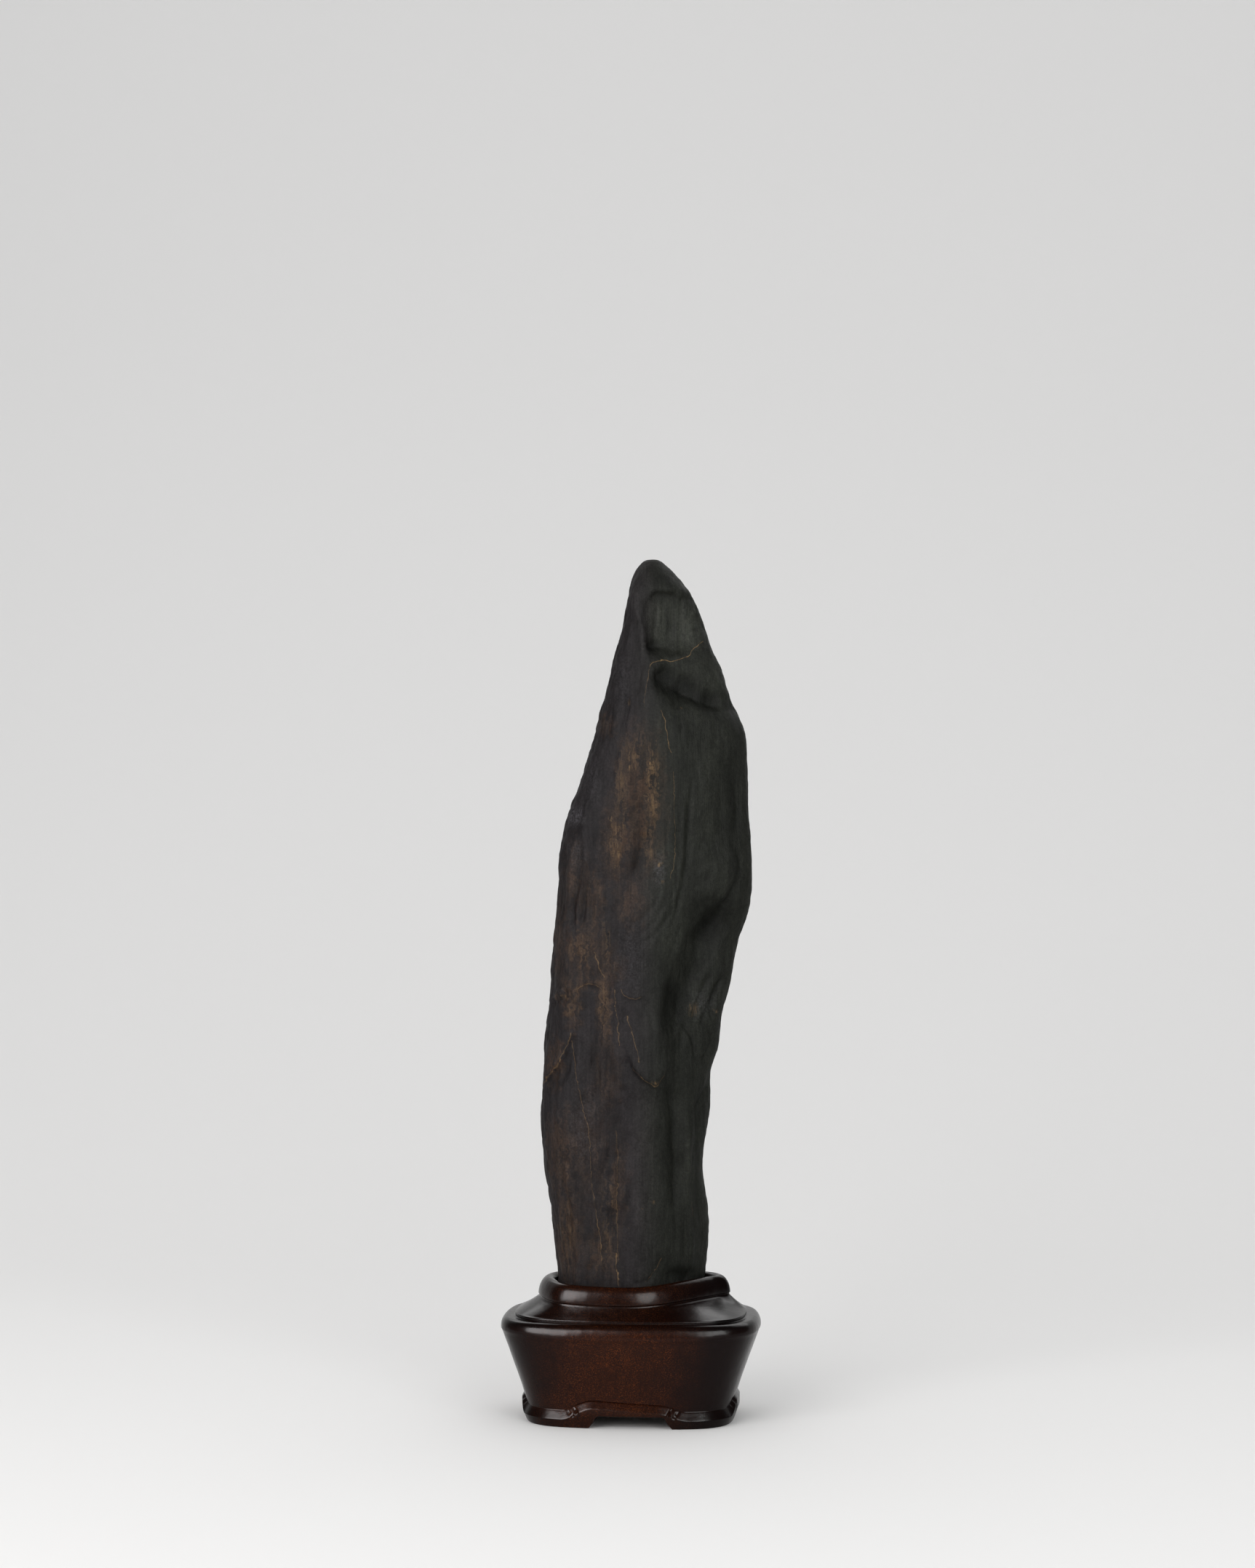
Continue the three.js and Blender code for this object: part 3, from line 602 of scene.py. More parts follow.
def patch_mask(m, plan, patches, edge):
    """One soft mask for a list of patches: the strongest patch at each place."""
    whole = None
    for x, z, half_x, half_z, strength in patches:
        inside = m.add("Mapping", {"Vector": plan, "Location": (-x / half_x, 0, -z / half_z),
                                   "Scale": (1 / half_x, 0, 1 / half_z)})
        away = m.add("VectorMath", {0: inside}, out="Value", operation="LENGTH")
        level = m.add("MapRange", {"Value": away, "From Min": 1, "From Max": 1 - edge, "To Max": strength},
                      interpolation_type="SMOOTHSTEP")
        whole = level if whole is None else m.add("Math", {0: whole, 1: level}, operation="MAXIMUM")
    return whole


def vein_mask(m, x, z):
    """One mask for all the veins. A curve node holds each one's run, and its distance gives the line."""
    whole = None
    for vein in VEINS.values():
        along, across = (0, 1) if vein["flat"] else (1, 0)
        run, off = (x, z) if vein["flat"] else (z, x)
        points = sorted(vein["points"], key=lambda p: p[along])
        start, end = points[0][along], points[-1][along]
        low = min(p[across] for p in points) - 1
        span = max(p[across] for p in points) + 1 - low
        share = m.add("MapRange", {"Value": run, "From Min": start, "From Max": end})
        route = m.add("FloatCurve", {"Value": share}, out=None)
        curve = route.mapping.curves[0]
        places = [((p[along] - start) / (end - start), (p[across] - low) / span) for p in points]
        curve.points[0].location, curve.points[1].location = places[0], places[-1]
        for place in places[1:-1]:
            curve.points.new(*place)
        route.mapping.update()
        middle = m.add("Math", {0: route.outputs[0], 1: span, 2: low}, operation="MULTIPLY_ADD")
        gap = m.add("Math", {0: off, 1: middle}, operation="SUBTRACT")
        away = m.add("Math", {0: gap}, operation="ABSOLUTE")
        line = m.add("MapRange", {"Value": away, "From Min": vein["width"] * 0.9,
                                  "From Max": vein["width"] * 0.15, "To Max": vein["strength"]},
                     interpolation_type="SMOOTHSTEP")
        # The line stops where the vein starts and ends, which are shares 0 and 1 of its run.
        within = m.add("Math", {0: share, 1: 0.5, 2: 0.499}, operation="COMPARE")
        seen = m.add("Math", {0: line, 1: within}, operation="MULTIPLY")
        whole = seen if whole is None else m.add("Math", {0: whole, 1: seen}, operation="MAXIMUM")
    return whole


def water_worn_limestone(settings):
    """Dark river-worn limestone, oiled by handling: it gives a soft satin sheen, brown iron stains that
    follow the bedding, and pale calcite in its cracks."""
    m = Nodes("water_worn_limestone")
    charcoal, green, umber, tan, bloom, cream = [
        (*getattr(settings, name), 1) for name in ("charcoal", "green", "umber", "tan", "bloom", "cream")
    ]
    plan = m.add("Attribute", out="Vector", attribute_name="face_plan")
    hollow_shade, patchwork, shade_and_grime = [
        m.add("Attribute", out="Fac", attribute_name=name) for name in ("hollow_shade", "patchwork", "shade_and_grime")
    ]
    depth = m.add("SeparateXYZ", {0: plan}, out="Y")

    # Places shaken by a millimetre or so give marks ragged edges, and shaken far give them broken shapes.
    wander = m.add("TexNoise", {"Vector": plan, "Scale": 1 / 2.86, "Detail": 4}, out="Color")
    jitter = m.add("VectorMath", {0: wander, 1: (0.5, 0.5, 0.5)}, operation="SUBTRACT")
    shaken = m.add("VectorMath", {0: jitter, 1: (2.2, 0, 2.2), 2: plan}, operation="MULTIPLY_ADD")
    loose = m.add("VectorMath", {0: jitter, 1: (9, 0, 26), 2: plan}, operation="MULTIPLY_ADD")
    face = m.add("SeparateXYZ", {0: shaken}, out=None).outputs

    # The bedding stands upright, so the bands, blotches and strokes are long and thin. The finest specks and
    # pits of the real stone would not show, and are drawn three or four times as coarse.
    way = m.add("Mapping", {"Vector": loose, "Scale": lump(1.82, 1.82, 14.3)})
    bands = m.add("TexNoise", {"Vector": way, "Scale": 1, "Detail": 6, "Roughness": 0.62})
    way = m.add("Mapping", {"Vector": loose, "Scale": lump(2.38, 2.38, 8.33)})
    blotches = m.add("TexNoise", {"Vector": way, "Scale": 1, "Detail": 6, "Roughness": 0.7})
    way = m.add("Mapping", {"Vector": plan, "Scale": lump(0.667, 0.667, 5.88)})
    strokes = m.add("TexNoise", {"Vector": way, "Scale": 1, "Detail": 4, "Roughness": 0.65})
    way = m.add("Mapping", {"Vector": plan, "Scale": lump(1.18, math.inf, 33.3)})
    ribs = m.add("TexNoise", {"Vector": way, "Scale": 1, "Detail": 5, "Roughness": 0.6})
    specks = m.add("TexNoise", {"Vector": plan, "Scale": 1 / 0.909, "Detail": 6, "Roughness": 0.75})
    clouds = m.add("TexNoise", {"Vector": plan, "Scale": 1 / 16.7, "Detail": 4, "Roughness": 0.55})

    # The right face is greener and darker than the left, with a soft line between the two.
    right = m.add("MapRange", {"Value": face["X"], "From Min": -2, "From Max": 16},
                  interpolation_type="SMOOTHSTEP")
    body = m.add("Mix", {0: right, 6: charcoal, 7: green}, out=2, data_type="RGBA")
    # The patches, each pattern and the painted shade in the hollows turn the colour down or up: from where to
    # where, and how far.
    shade = patchwork
    for pattern, low, high, darkest, lightest in (
        (clouds, 0.3, 0.7, 0.78, 1.25), (specks, 0.25, 0.75, 0.5, 1.5), (bands, 0.3, 0.7, 0.72, 1.3),
        (ribs, 0.35, 0.65, 0.84, 1.18), (hollow_shade, -0.7, 1.6, 1.14, 0.66),
    ):
        factor = m.add("MapRange", {"Value": pattern, "From Min": low, "From Max": high, "To Min": darkest,
                                    "To Max": lightest})
        shade = m.add("Math", {0: shade, 1: factor}, operation="MULTIPLY")

    stain = patch_mask(m, loose, UMBER_PATCHES, 0.9)
    streaky = m.add("MapRange", {"Value": bands, "From Min": 0.38, "From Max": 0.62},
                    interpolation_type="SMOOTHSTEP")
    streaky = m.add("MapRange", {"Value": streaky, "To Min": 0.25})
    rust = m.add("MapRange", {"Value": blotches, "From Min": 0.45, "From Max": 0.7},
                 interpolation_type="SMOOTHSTEP")
    dusty = patch_mask(m, shaken, PALE_PATCHES, 0.9)
    dust = m.add("MapRange", {"Value": specks, "From Min": 0.42, "From Max": 0.6})
    for where, how, colour in ((stain, streaky, umber), (stain, rust, tan), (dusty, dust, bloom)):
        share = m.add("Math", {0: where, 1: how}, operation="MULTIPLY")
        body = m.add("Mix", {0: share, 6: body, 7: colour}, out=2, data_type="RGBA")
    body = m.add("VectorMath", {0: body, "Scale": shade}, operation="SCALE")

    # Calcite shows as crumbs and as broken lines, on the front only, and not through the painted shade and
    # grime.
    unshaded_and_clean = m.add("MapRange", {"Value": shade_and_grime, "From Max": 0.8, "To Min": 1, "To Max": 0.05})
    crumbs = m.add("MapRange", {"Value": strokes, "From Min": 0.4, "From Max": 0.72})
    cluster = m.add("MapRange", {"Value": bands, "From Min": 0.42, "From Max": 0.6})
    pale = patch_mask(m, shaken, CREAM_PATCHES, 0.8)
    for factor in (crumbs, cluster, unshaded_and_clean):
        pale = m.add("Math", {0: pale, 1: factor}, operation="MULTIPLY")
    broken = m.add("MapRange", {"Value": bands, "From Min": 0.4, "From Max": 0.6, "To Min": 0.1,
                                "To Max": 0.8})
    veins = m.add("Math", {0: vein_mask(m, face["X"], face["Z"]), 1: broken}, operation="MULTIPLY")
    light = m.add("Math", {0: pale, 1: veins}, operation="MAXIMUM")
    front = m.add("MapRange", {"Value": depth, "From Min": 2, "From Max": -2})
    light = m.add("Math", {0: light, 1: front}, operation="MULTIPLY")
    body = m.add("Mix", {0: light, 6: body, 7: cream}, out=2, data_type="RGBA")

    sheen = m.add("MapRange", {"Value": clouds, "From Min": 0.3, "From Max": 0.7, "To Min": 0.46,
                               "To Max": 0.6})
    pits = m.add("TexNoise", {"Vector": plan, "Scale": 1 / 0.385, "Detail": 4, "Roughness": 0.6})
    way = m.add("Mapping", {"Vector": plan, "Scale": lump(0.625, 0.625, 6.25)})
    fibres = m.add("TexNoise", {"Vector": way, "Scale": 1, "Detail": 4})
    height = m.add("Math", {0: pits, 1: fibres}, operation="ADD")
    height = m.add("Math", {0: veins, 1: -0.5, 2: height}, operation="MULTIPLY_ADD")
    bump = m.add("Bump", {"Height": height, "Strength": 0.7, "Distance": 0.3 * MM})
    m.feed(m.shader, {"Base Color": body, "Roughness": sheen, "IOR": 1.45, "Specular IOR Level": 0.05,
                      "Normal": bump})
    return m.material


class SCHOLARSROCK_OT_stone(bpy.types.Operator):
    """Makes the water-worn stone."""

    bl_idname = "scholarsrock.stone"
    bl_label = "Stone"

    def execute(self, context):
        settings = context.scene.scholarsrock_stone
        mesh = stone_skin(settings)
        if len(mesh.polygons) < 20000:
            raise RuntimeError("the stone's skin came out empty or coarse")
        carve_stone(mesh, settings)
        mesh.shade_smooth()
        mesh.materials.clear()
        mesh.materials.append(water_worn_limestone(settings))
        stone = link("water_worn_stone", mesh)
        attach(stone, "root")
        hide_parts("rock")
        return {"FINISHED"}


# ---- The stand ----
# Its main sizes come from the frame, and the rest follow the solid's. Keys ending in _x or _y are half sizes.

LIP_X = STAND_BOX[1][0] / MM
LIP_Y = STAND_BOX[1][1] / MM

BLOCK = {
    "lip_corner": 17.5, "body_x": 42.9, "body_y": 29.2, "body_corner": 14, "panel_bow": 0.7, "bow": 0.135,
    "panel_foot": 7, "panel_top": 37.2, "lip_height": 38.4, "lip_in": 3.2, "lip_rise": 4.1, "lip_dip": 1.2,
    "border_x": 47.8, "border_y": 30.6, "border_corner": 16.6, "step_foot": 42.4, "step_top": 43.9,
    "proud": 2, "toe": 2.2, "toe_height": 6.5, "underside": 8, "rim": 9, "front_top": 10.4,
    "front_fall": 0.06, "side_top": 12, "corner_top": 7,
}
ARCH = {"front_half": 17, "front_shift": 2, "side_half": 9.5, "height": 5.3, "lean": 2.2, "corner": 2.5}
COLLAR = {
    "base": 49.3, "bead": 1, "crest": 56.6, "end_rise": 1.3, "front_width": 5.4, "side_width": 6.8,
}

# The next tables give the stand's section, from the ground up. First, distances in from the sole's edge.
SOLE_INSETS = (4.5, 1.5, 0.5, 0.15)
# Shares of the height from the sole to the foot's edge.
FOOT_SHARES = (0.02, 0.06, 0.15, 0.3, 0.45, 0.6, 0.75, 0.88, 0.96)
# The foot's round shoulder: share of its height, and how far it stands out.
FOOT_SHOULDER = [
    (0, 1.97), (0.06, 1.88), (0.2, 1.62), (0.4, 1.22), (0.6, 0.84), (0.8, 0.46), (0.95, 0.16), (1, 0.02),
]
# Shares of the panel's height, and of the lip's quarter round, close together where the surface turns.
PANEL_SHARES = (0.01, 0.03, *np.linspace(0.06, 1, 22))
LIP_SHARES = (-0.09, -0.04, *np.linspace(0, 0.9, 16))
# The step of the raised top: how far in from its edge, and the share of its height.
STEP_SECTION = [
    (-0.9, 0), (-0.25, 0), (0, 0.12), (0.02, 0.5), (0.04, 0.8), (0.1, 0.92), (0.22, 0.99), (0.4, 1),
]
# Shares of the way in from the step to the collar, and how much of the rise is done there.
RAISED_TOP = [(0, 0), (0.25, 0.24), (0.5, 0.47), (0.75, 0.72), (1, 1)]
# The small bead at the collar's foot, as shares of the collar's width and of the bead's height.
BEAD = ((0.945, 0.3), (0.93, 0.6), (0.935, 0.85))
# The collar's section: shares of its width, outwards from the mouth, and of its height above the bead.
COLLAR_SECTION = [
    (0.97, 0), (0.995, 0.02), (1, 0.06), (0.985, 0.18), (0.96, 0.3), (0.925, 0.42), (0.875, 0.54),
    (0.81, 0.66), (0.73, 0.77), (0.63, 0.87), (0.5, 0.95), (0.38, 0.98), (0.25, 0.97), (0.12, 0.92),
    (0.03, 0.82), (0, 0.7),
]
POCKET_HEIGHTS = (52, 50, 48, 46)
# The mouth of the pocket, anticlockwise from the right tip, in the stone's frame.
MOUTH = [
    (35, 2), (30, 11.5), (16, 19.5), (-4, 22), (-21, 18), (-29, 9), (-31.2, 0), (-28.5, -11.5), (-23, -18.8),
    (-9, -21.3), (4, -20.9), (13, -16.8), (22, -10), (29.5, -3.5),
]
# Where the scrolls stand along the front and the sides, and their size: how far out the curl starts, how much
# it closes in with each radian, the width of the cut, and its depth.
FRONT_SCROLLS = (-22.4, 20.6)
SIDE_SCROLLS = (-12.5, 12.5)
CURL = {"start": 2.4, "closing": 0.27, "width": 0.42, "depth": 0.5, "fade": (3.4, 2.6)}
CHIP = {"at": (2.6, -0.4), "slope": 0.7, "width": 0.5, "length": 1.6, "depth": 0.6}
# The unevenness of hand carving: the size of its waves, half its depth, and the seed of its noise.
HAND_WAVES = [((14, 14, 9), 0.12, 6), ((3.5, 3.5, 3.5), 0.05, 7)]


class StandSettings(bpy.types.PropertyGroup):
    """The stand's own sizes and colours."""

    spacing: bpy.props.FloatProperty(
        name="Spacing", description="Gap between the columns of faces round the stand", default=0.5 * MM,
        unit="LENGTH",
    )
    stain: bpy.props.FloatVectorProperty(
        name="Dark stain", description="Near-black stain at the edges", subtype="COLOR",
        default=paint("#110807"),
    )
    wood: bpy.props.FloatVectorProperty(
        name="Red wood", description="The wood where the stain is thin", subtype="COLOR",
        default=paint("#281006"),
    )
    fleck: bpy.props.FloatVectorProperty(
        name="Fleck", description="Orange flecks of the grain", subtype="COLOR", default=paint("#643212")
    )


def block_plan(facing, half_x, half_y, corner):
    """The outline of a rounded block with gently bowed sides: its place for each direction that it faces."""
    nx, ny = facing.T
    e = BLOCK["bow"]
    k = math.hypot(1, e)
    core_x = k * (half_x - corner) - e * (half_y - corner)
    core_y = k * (half_y - corner) - e * (half_x - corner)
    along_x, along_y = core_x / np.hypot(nx, e), core_y / np.hypot(ny, e)
    return np.column_stack([
        nx * (along_x * k * k + along_y * e * e + corner), ny * (along_y * k * k + along_x * e * e + corner),
    ])


def stand_columns(gap):
    """The directions that the columns of faces round the stand face, evenly spaced along the lip."""
    steps = 20000
    turn = np.linspace(0, 2 * math.pi, steps + 1)
    facing = np.column_stack([np.sin(turn), -np.cos(turn)])
    plan = block_plan(facing, LIP_X, LIP_Y, BLOCK["lip_corner"])
    run = np.concatenate([[0], np.cumsum(np.hypot(*np.diff(plan, axis=0).T))])
    even = np.interp(np.arange(0, run[-1] - gap / 2, gap), run, turn)
    return np.column_stack([np.sin(even), -np.cos(even)])


def arch_rise(away, half):
    """Height of the gap between the feet, at distances from its middle. Half is half its width below."""
    side = half - ARCH["lean"]
    r = ARCH["corner"]
    slope = (half - away) / ARCH["lean"] * (ARCH["height"] - r)
    over = np.clip(away - (side - r), 0, r)
    arc = ARCH["height"] - r + np.sqrt(np.maximum(r * r - over * over, 0))
    return np.where(away >= half, 0, np.where(away > side, slope, arc))


def ring(plan, height):
    """One closed row of places at one height, or at a height for each place."""
    return np.column_stack([plan, np.broadcast_to(height, len(plan))])


def foot_plan(facing, out):
    """The outline of the stand's foot, moved out by a distance."""
    return block_plan(facing, *(BLOCK[key] + out for key in ("body_x", "body_y", "body_corner")))


def border_plan(facing, inwards):
    """The outline of the raised top's step, moved in by a distance."""
    return block_plan(facing, *(BLOCK[key] - inwards for key in ("border_x", "border_y", "border_corner")))


def foot_rings(facing, front):
    """The rings of the underside, the arches and the feet, and the height where each column's foot ends."""
    base = foot_plan(facing, 0)
    x, y = np.abs(base.T)
    sole = np.where(
        front, arch_rise(np.abs(base[:, 0] - ARCH["front_shift"]), ARCH["front_half"]),
        arch_rise(y, ARCH["side_half"]),
    )
    swing = np.where(front, smooth(13, 26, x), smooth(8, 17, y))
    # The front edge was carved by eye, and runs down a little to the right.
    fall = BLOCK["front_fall"] * np.where(base[:, 1] < 0, base[:, 0] - ARCH["front_shift"], 0)
    top = lerp(np.where(front, BLOCK["front_top"] - fall, BLOCK["side_top"]), BLOCK["corner_top"], swing)
    arris = top - lerp(3, 3.4, swing)

    def toed(height):
        """How far out the foot is at a height: its toe is drawn in."""
        up = np.clip(height / BLOCK["toe_height"], 0, 1)
        return BLOCK["proud"] - BLOCK["toe"] + BLOCK["toe"] * (1 - (1 - up) ** 1.6)

    def row(out, height):
        return ring(base + facing * np.reshape(out, (-1, 1)), height)

    rim = foot_plan(facing, -BLOCK["rim"])
    heights = (BLOCK["underside"], lerp(sole, BLOCK["underside"], 0.5), sole)
    rings = [ring(rim, height) for height in heights]
    rings += [row(toed(sole) - inset, sole) for inset in SOLE_INSETS]
    for share in FOOT_SHARES:
        height = lerp(sole + 0.15, arris, share)
        rings.append(row(toed(height), height))
    rings += [row(out, lerp(arris, top, share)) for share, out in FOOT_SHOULDER]
    return rings, top


def panel_rings(facing, front, foot_top):
    """The rings of the side panels, which draw in downwards and bow out a little, and of the rounded lip."""
    dip = BLOCK["lip_dip"] * smooth(0.45, 0.05, np.abs(facing[:, 0])) * front
    panel_top = BLOCK["panel_top"] - dip
    low = foot_plan(facing, 0)
    high = block_plan(facing, LIP_X - 0.4, LIP_Y - 0.4, BLOCK["lip_corner"])
    rings = []
    for share in PANEL_SHARES:
        height = lerp(foot_top, panel_top, share)
        s = (height - BLOCK["panel_foot"]) / (panel_top - BLOCK["panel_foot"])
        t = (0.6 * s + 0.4 * s * s)[:, None]
        bow = BLOCK["panel_bow"] * 4 * t * (1 - t)
        rings.append(ring(lerp(low, high, t) + facing * bow, height))
    for share in LIP_SHARES:
        turn = share * math.pi / 2
        inwards = BLOCK["lip_in"] * (1 - math.cos(turn))
        plan = block_plan(facing, LIP_X - inwards, LIP_Y - inwards, BLOCK["lip_corner"] - inwards)
        rings.append(ring(plan, BLOCK["lip_height"] - dip + (BLOCK["lip_rise"] + dip) * math.sin(turn)))
    return rings


def top_rings(facing):
    """The rings of the step, the raised top, the collar and the pocket that holds the stone."""
    rings = [
        ring(border_plan(facing, inwards), lerp(BLOCK["step_foot"], BLOCK["step_top"], up))
        for inwards, up in STEP_SECTION
    ]
    lip = block_plan(facing, LIP_X, LIP_Y, BLOCK["lip_corner"])
    angle = np.arctan2(lip[:, 1], lip[:, 0])
    c, s = math.cos(STONE_TURN), math.sin(STONE_TURN)
    curve = flowing(MOUTH, 12, closed=True) @ np.array([[c, s], [-s, c]]) + (STONE_SHIFT, 0)
    turns = np.arctan2(curve[:, 1], curve[:, 0])
    order = np.argsort(turns)
    mouth = np.interp(angle, turns[order], np.hypot(*curve.T)[order], period=2 * math.pi)
    ends = np.cos(angle) ** 2
    width = lerp(COLLAR["front_width"], COLLAR["side_width"], ends)
    rise = COLLAR["end_rise"] * ends
    ray = np.column_stack([np.cos(angle), np.sin(angle)])

    def collar(share):
        return ray * (mouth + width * share)[:, None]

    fillet = COLLAR["base"] - COLLAR["bead"]
    (step_in, _), (foot_share, _) = STEP_SECTION[-1], COLLAR_SECTION[0]
    for inwards, up in flowing(RAISED_TOP, 3)[1:]:
        plan = lerp(border_plan(facing, step_in), collar(foot_share), inwards)
        rings.append(ring(plan, lerp(BLOCK["step_top"], fillet + rise, up)))
    rings += [ring(collar(share), fillet + rise + COLLAR["bead"] * up) for share, up in BEAD]
    for share, up in flowing(COLLAR_SECTION, 2):
        rings.append(ring(collar(share), lerp(COLLAR["base"], COLLAR["crest"], up) + rise))
    return rings + [ring(collar(0), height) for height in POCKET_HEIGHTS]


def stand_rings(gap):
    """The stand as rings of places: from the underside out, up, over the collar and into the pocket."""
    facing = stand_columns(gap)
    front = np.abs(facing[:, 1]) > np.abs(facing[:, 0])
    low, foot_top = foot_rings(facing, front)
    return np.array(low + panel_rings(facing, front, foot_top) + top_rings(facing))


def scroll(u, z, at, lean):
    """A small carved curl: one round cut that winds in on itself, and a chip beside it."""
    x, y = (u - at) * lean, z - BLOCK["corner_top"]
    r = np.hypot(x, y)
    wind = np.mod(np.arctan2(y, x) + math.pi / 2, 2 * math.pi)
    curl = near(r - (CURL["start"] - CURL["closing"] * wind), CURL["width"]) * smooth(*CURL["fade"], r)
    chip_x, chip_y = x - CHIP["at"][0], y - CHIP["at"][1]
    chip = near(chip_x + CHIP["slope"] * chip_y, CHIP["width"]) * near(chip_y, CHIP["length"])
    return CURL["depth"] * curl + CHIP["depth"] * chip


def carve_stand(rings):
    """Adds the scrolls and the small unevenness of hand carving, all of it inwards."""
    flat = rings.reshape(-1, 3)
    x, y, z = flat.T
    # The scrolls are cut on the feet's outer faces only.
    low = smooth(13, 11, z) * smooth(1.5, 2.5, z)
    front, side = smooth(27, 29.5, np.abs(y)), smooth(40, 42, np.abs(x))
    cut = np.zeros(len(flat))
    for at in FRONT_SCROLLS:
        cut += front * low * scroll(x, z, at, math.copysign(1, -at))
    for at in SIDE_SCROLLS:
        cut += side * low * scroll(y, z - 1, at, math.copysign(1, -at))
    wave = sum(depth * (1 + rough(flat, size, seed)) for size, depth, seed in HAND_WAVES)
    # The ground and the inside of the pocket stay true.
    outside = np.hypot(x / 36, y / 27) > 1
    worked = smooth(1, 4, z) * smooth(46.5, 49, z + 60 * outside)
    inward = -flat[:, :2] / np.hypot(x, y)[:, None]
    flat[:, :2] += inward * (cut + wave * worked)[:, None]
    return rings


def stand_mesh(gap):
    """Wraps a grid round the stand, welds it where it meets, and closes it under the stone and underneath."""
    rings = carve_stand(stand_rings(gap)) * MM
    rows, columns = rings.shape[:2]
    bm = bmesh.new()
    bmesh.ops.create_grid(bm, x_segments=columns, y_segments=rows - 1, size=1)
    for vert in bm.verts:
        column = round((vert.co.x + 1) / 2 * columns) % columns
        row = round((vert.co.y + 1) / 2 * (rows - 1))
        vert.co = rings[row, column]
    bmesh.ops.remove_doubles(bm, verts=bm.verts, dist=0.0001 * MM)
    # The raised top flows from the step to the bead at the collar's foot.
    low, high = (BLOCK["step_top"] + 0.02) * MM, (COLLAR["base"] - 1.6) * MM
    top = [
        vert for vert in bm.verts
        if low < vert.co.z < high and math.hypot(vert.co.x / 37, vert.co.y / 25) > MM
    ]
    for _ in range(4):
        bmesh.ops.smooth_vert(bm, verts=top, factor=0.5, use_axis_x=True, use_axis_y=True, use_axis_z=True)
    ends = [edge for edge in bm.edges if edge.is_boundary]
    bmesh.ops.holes_fill(bm, edges=ends, sides=0)
    bmesh.ops.recalc_face_normals(bm, faces=bm.faces)
    mesh = bpy.data.meshes.new("carved_stand")
    bm.to_mesh(mesh)
    bm.free()
    return mesh


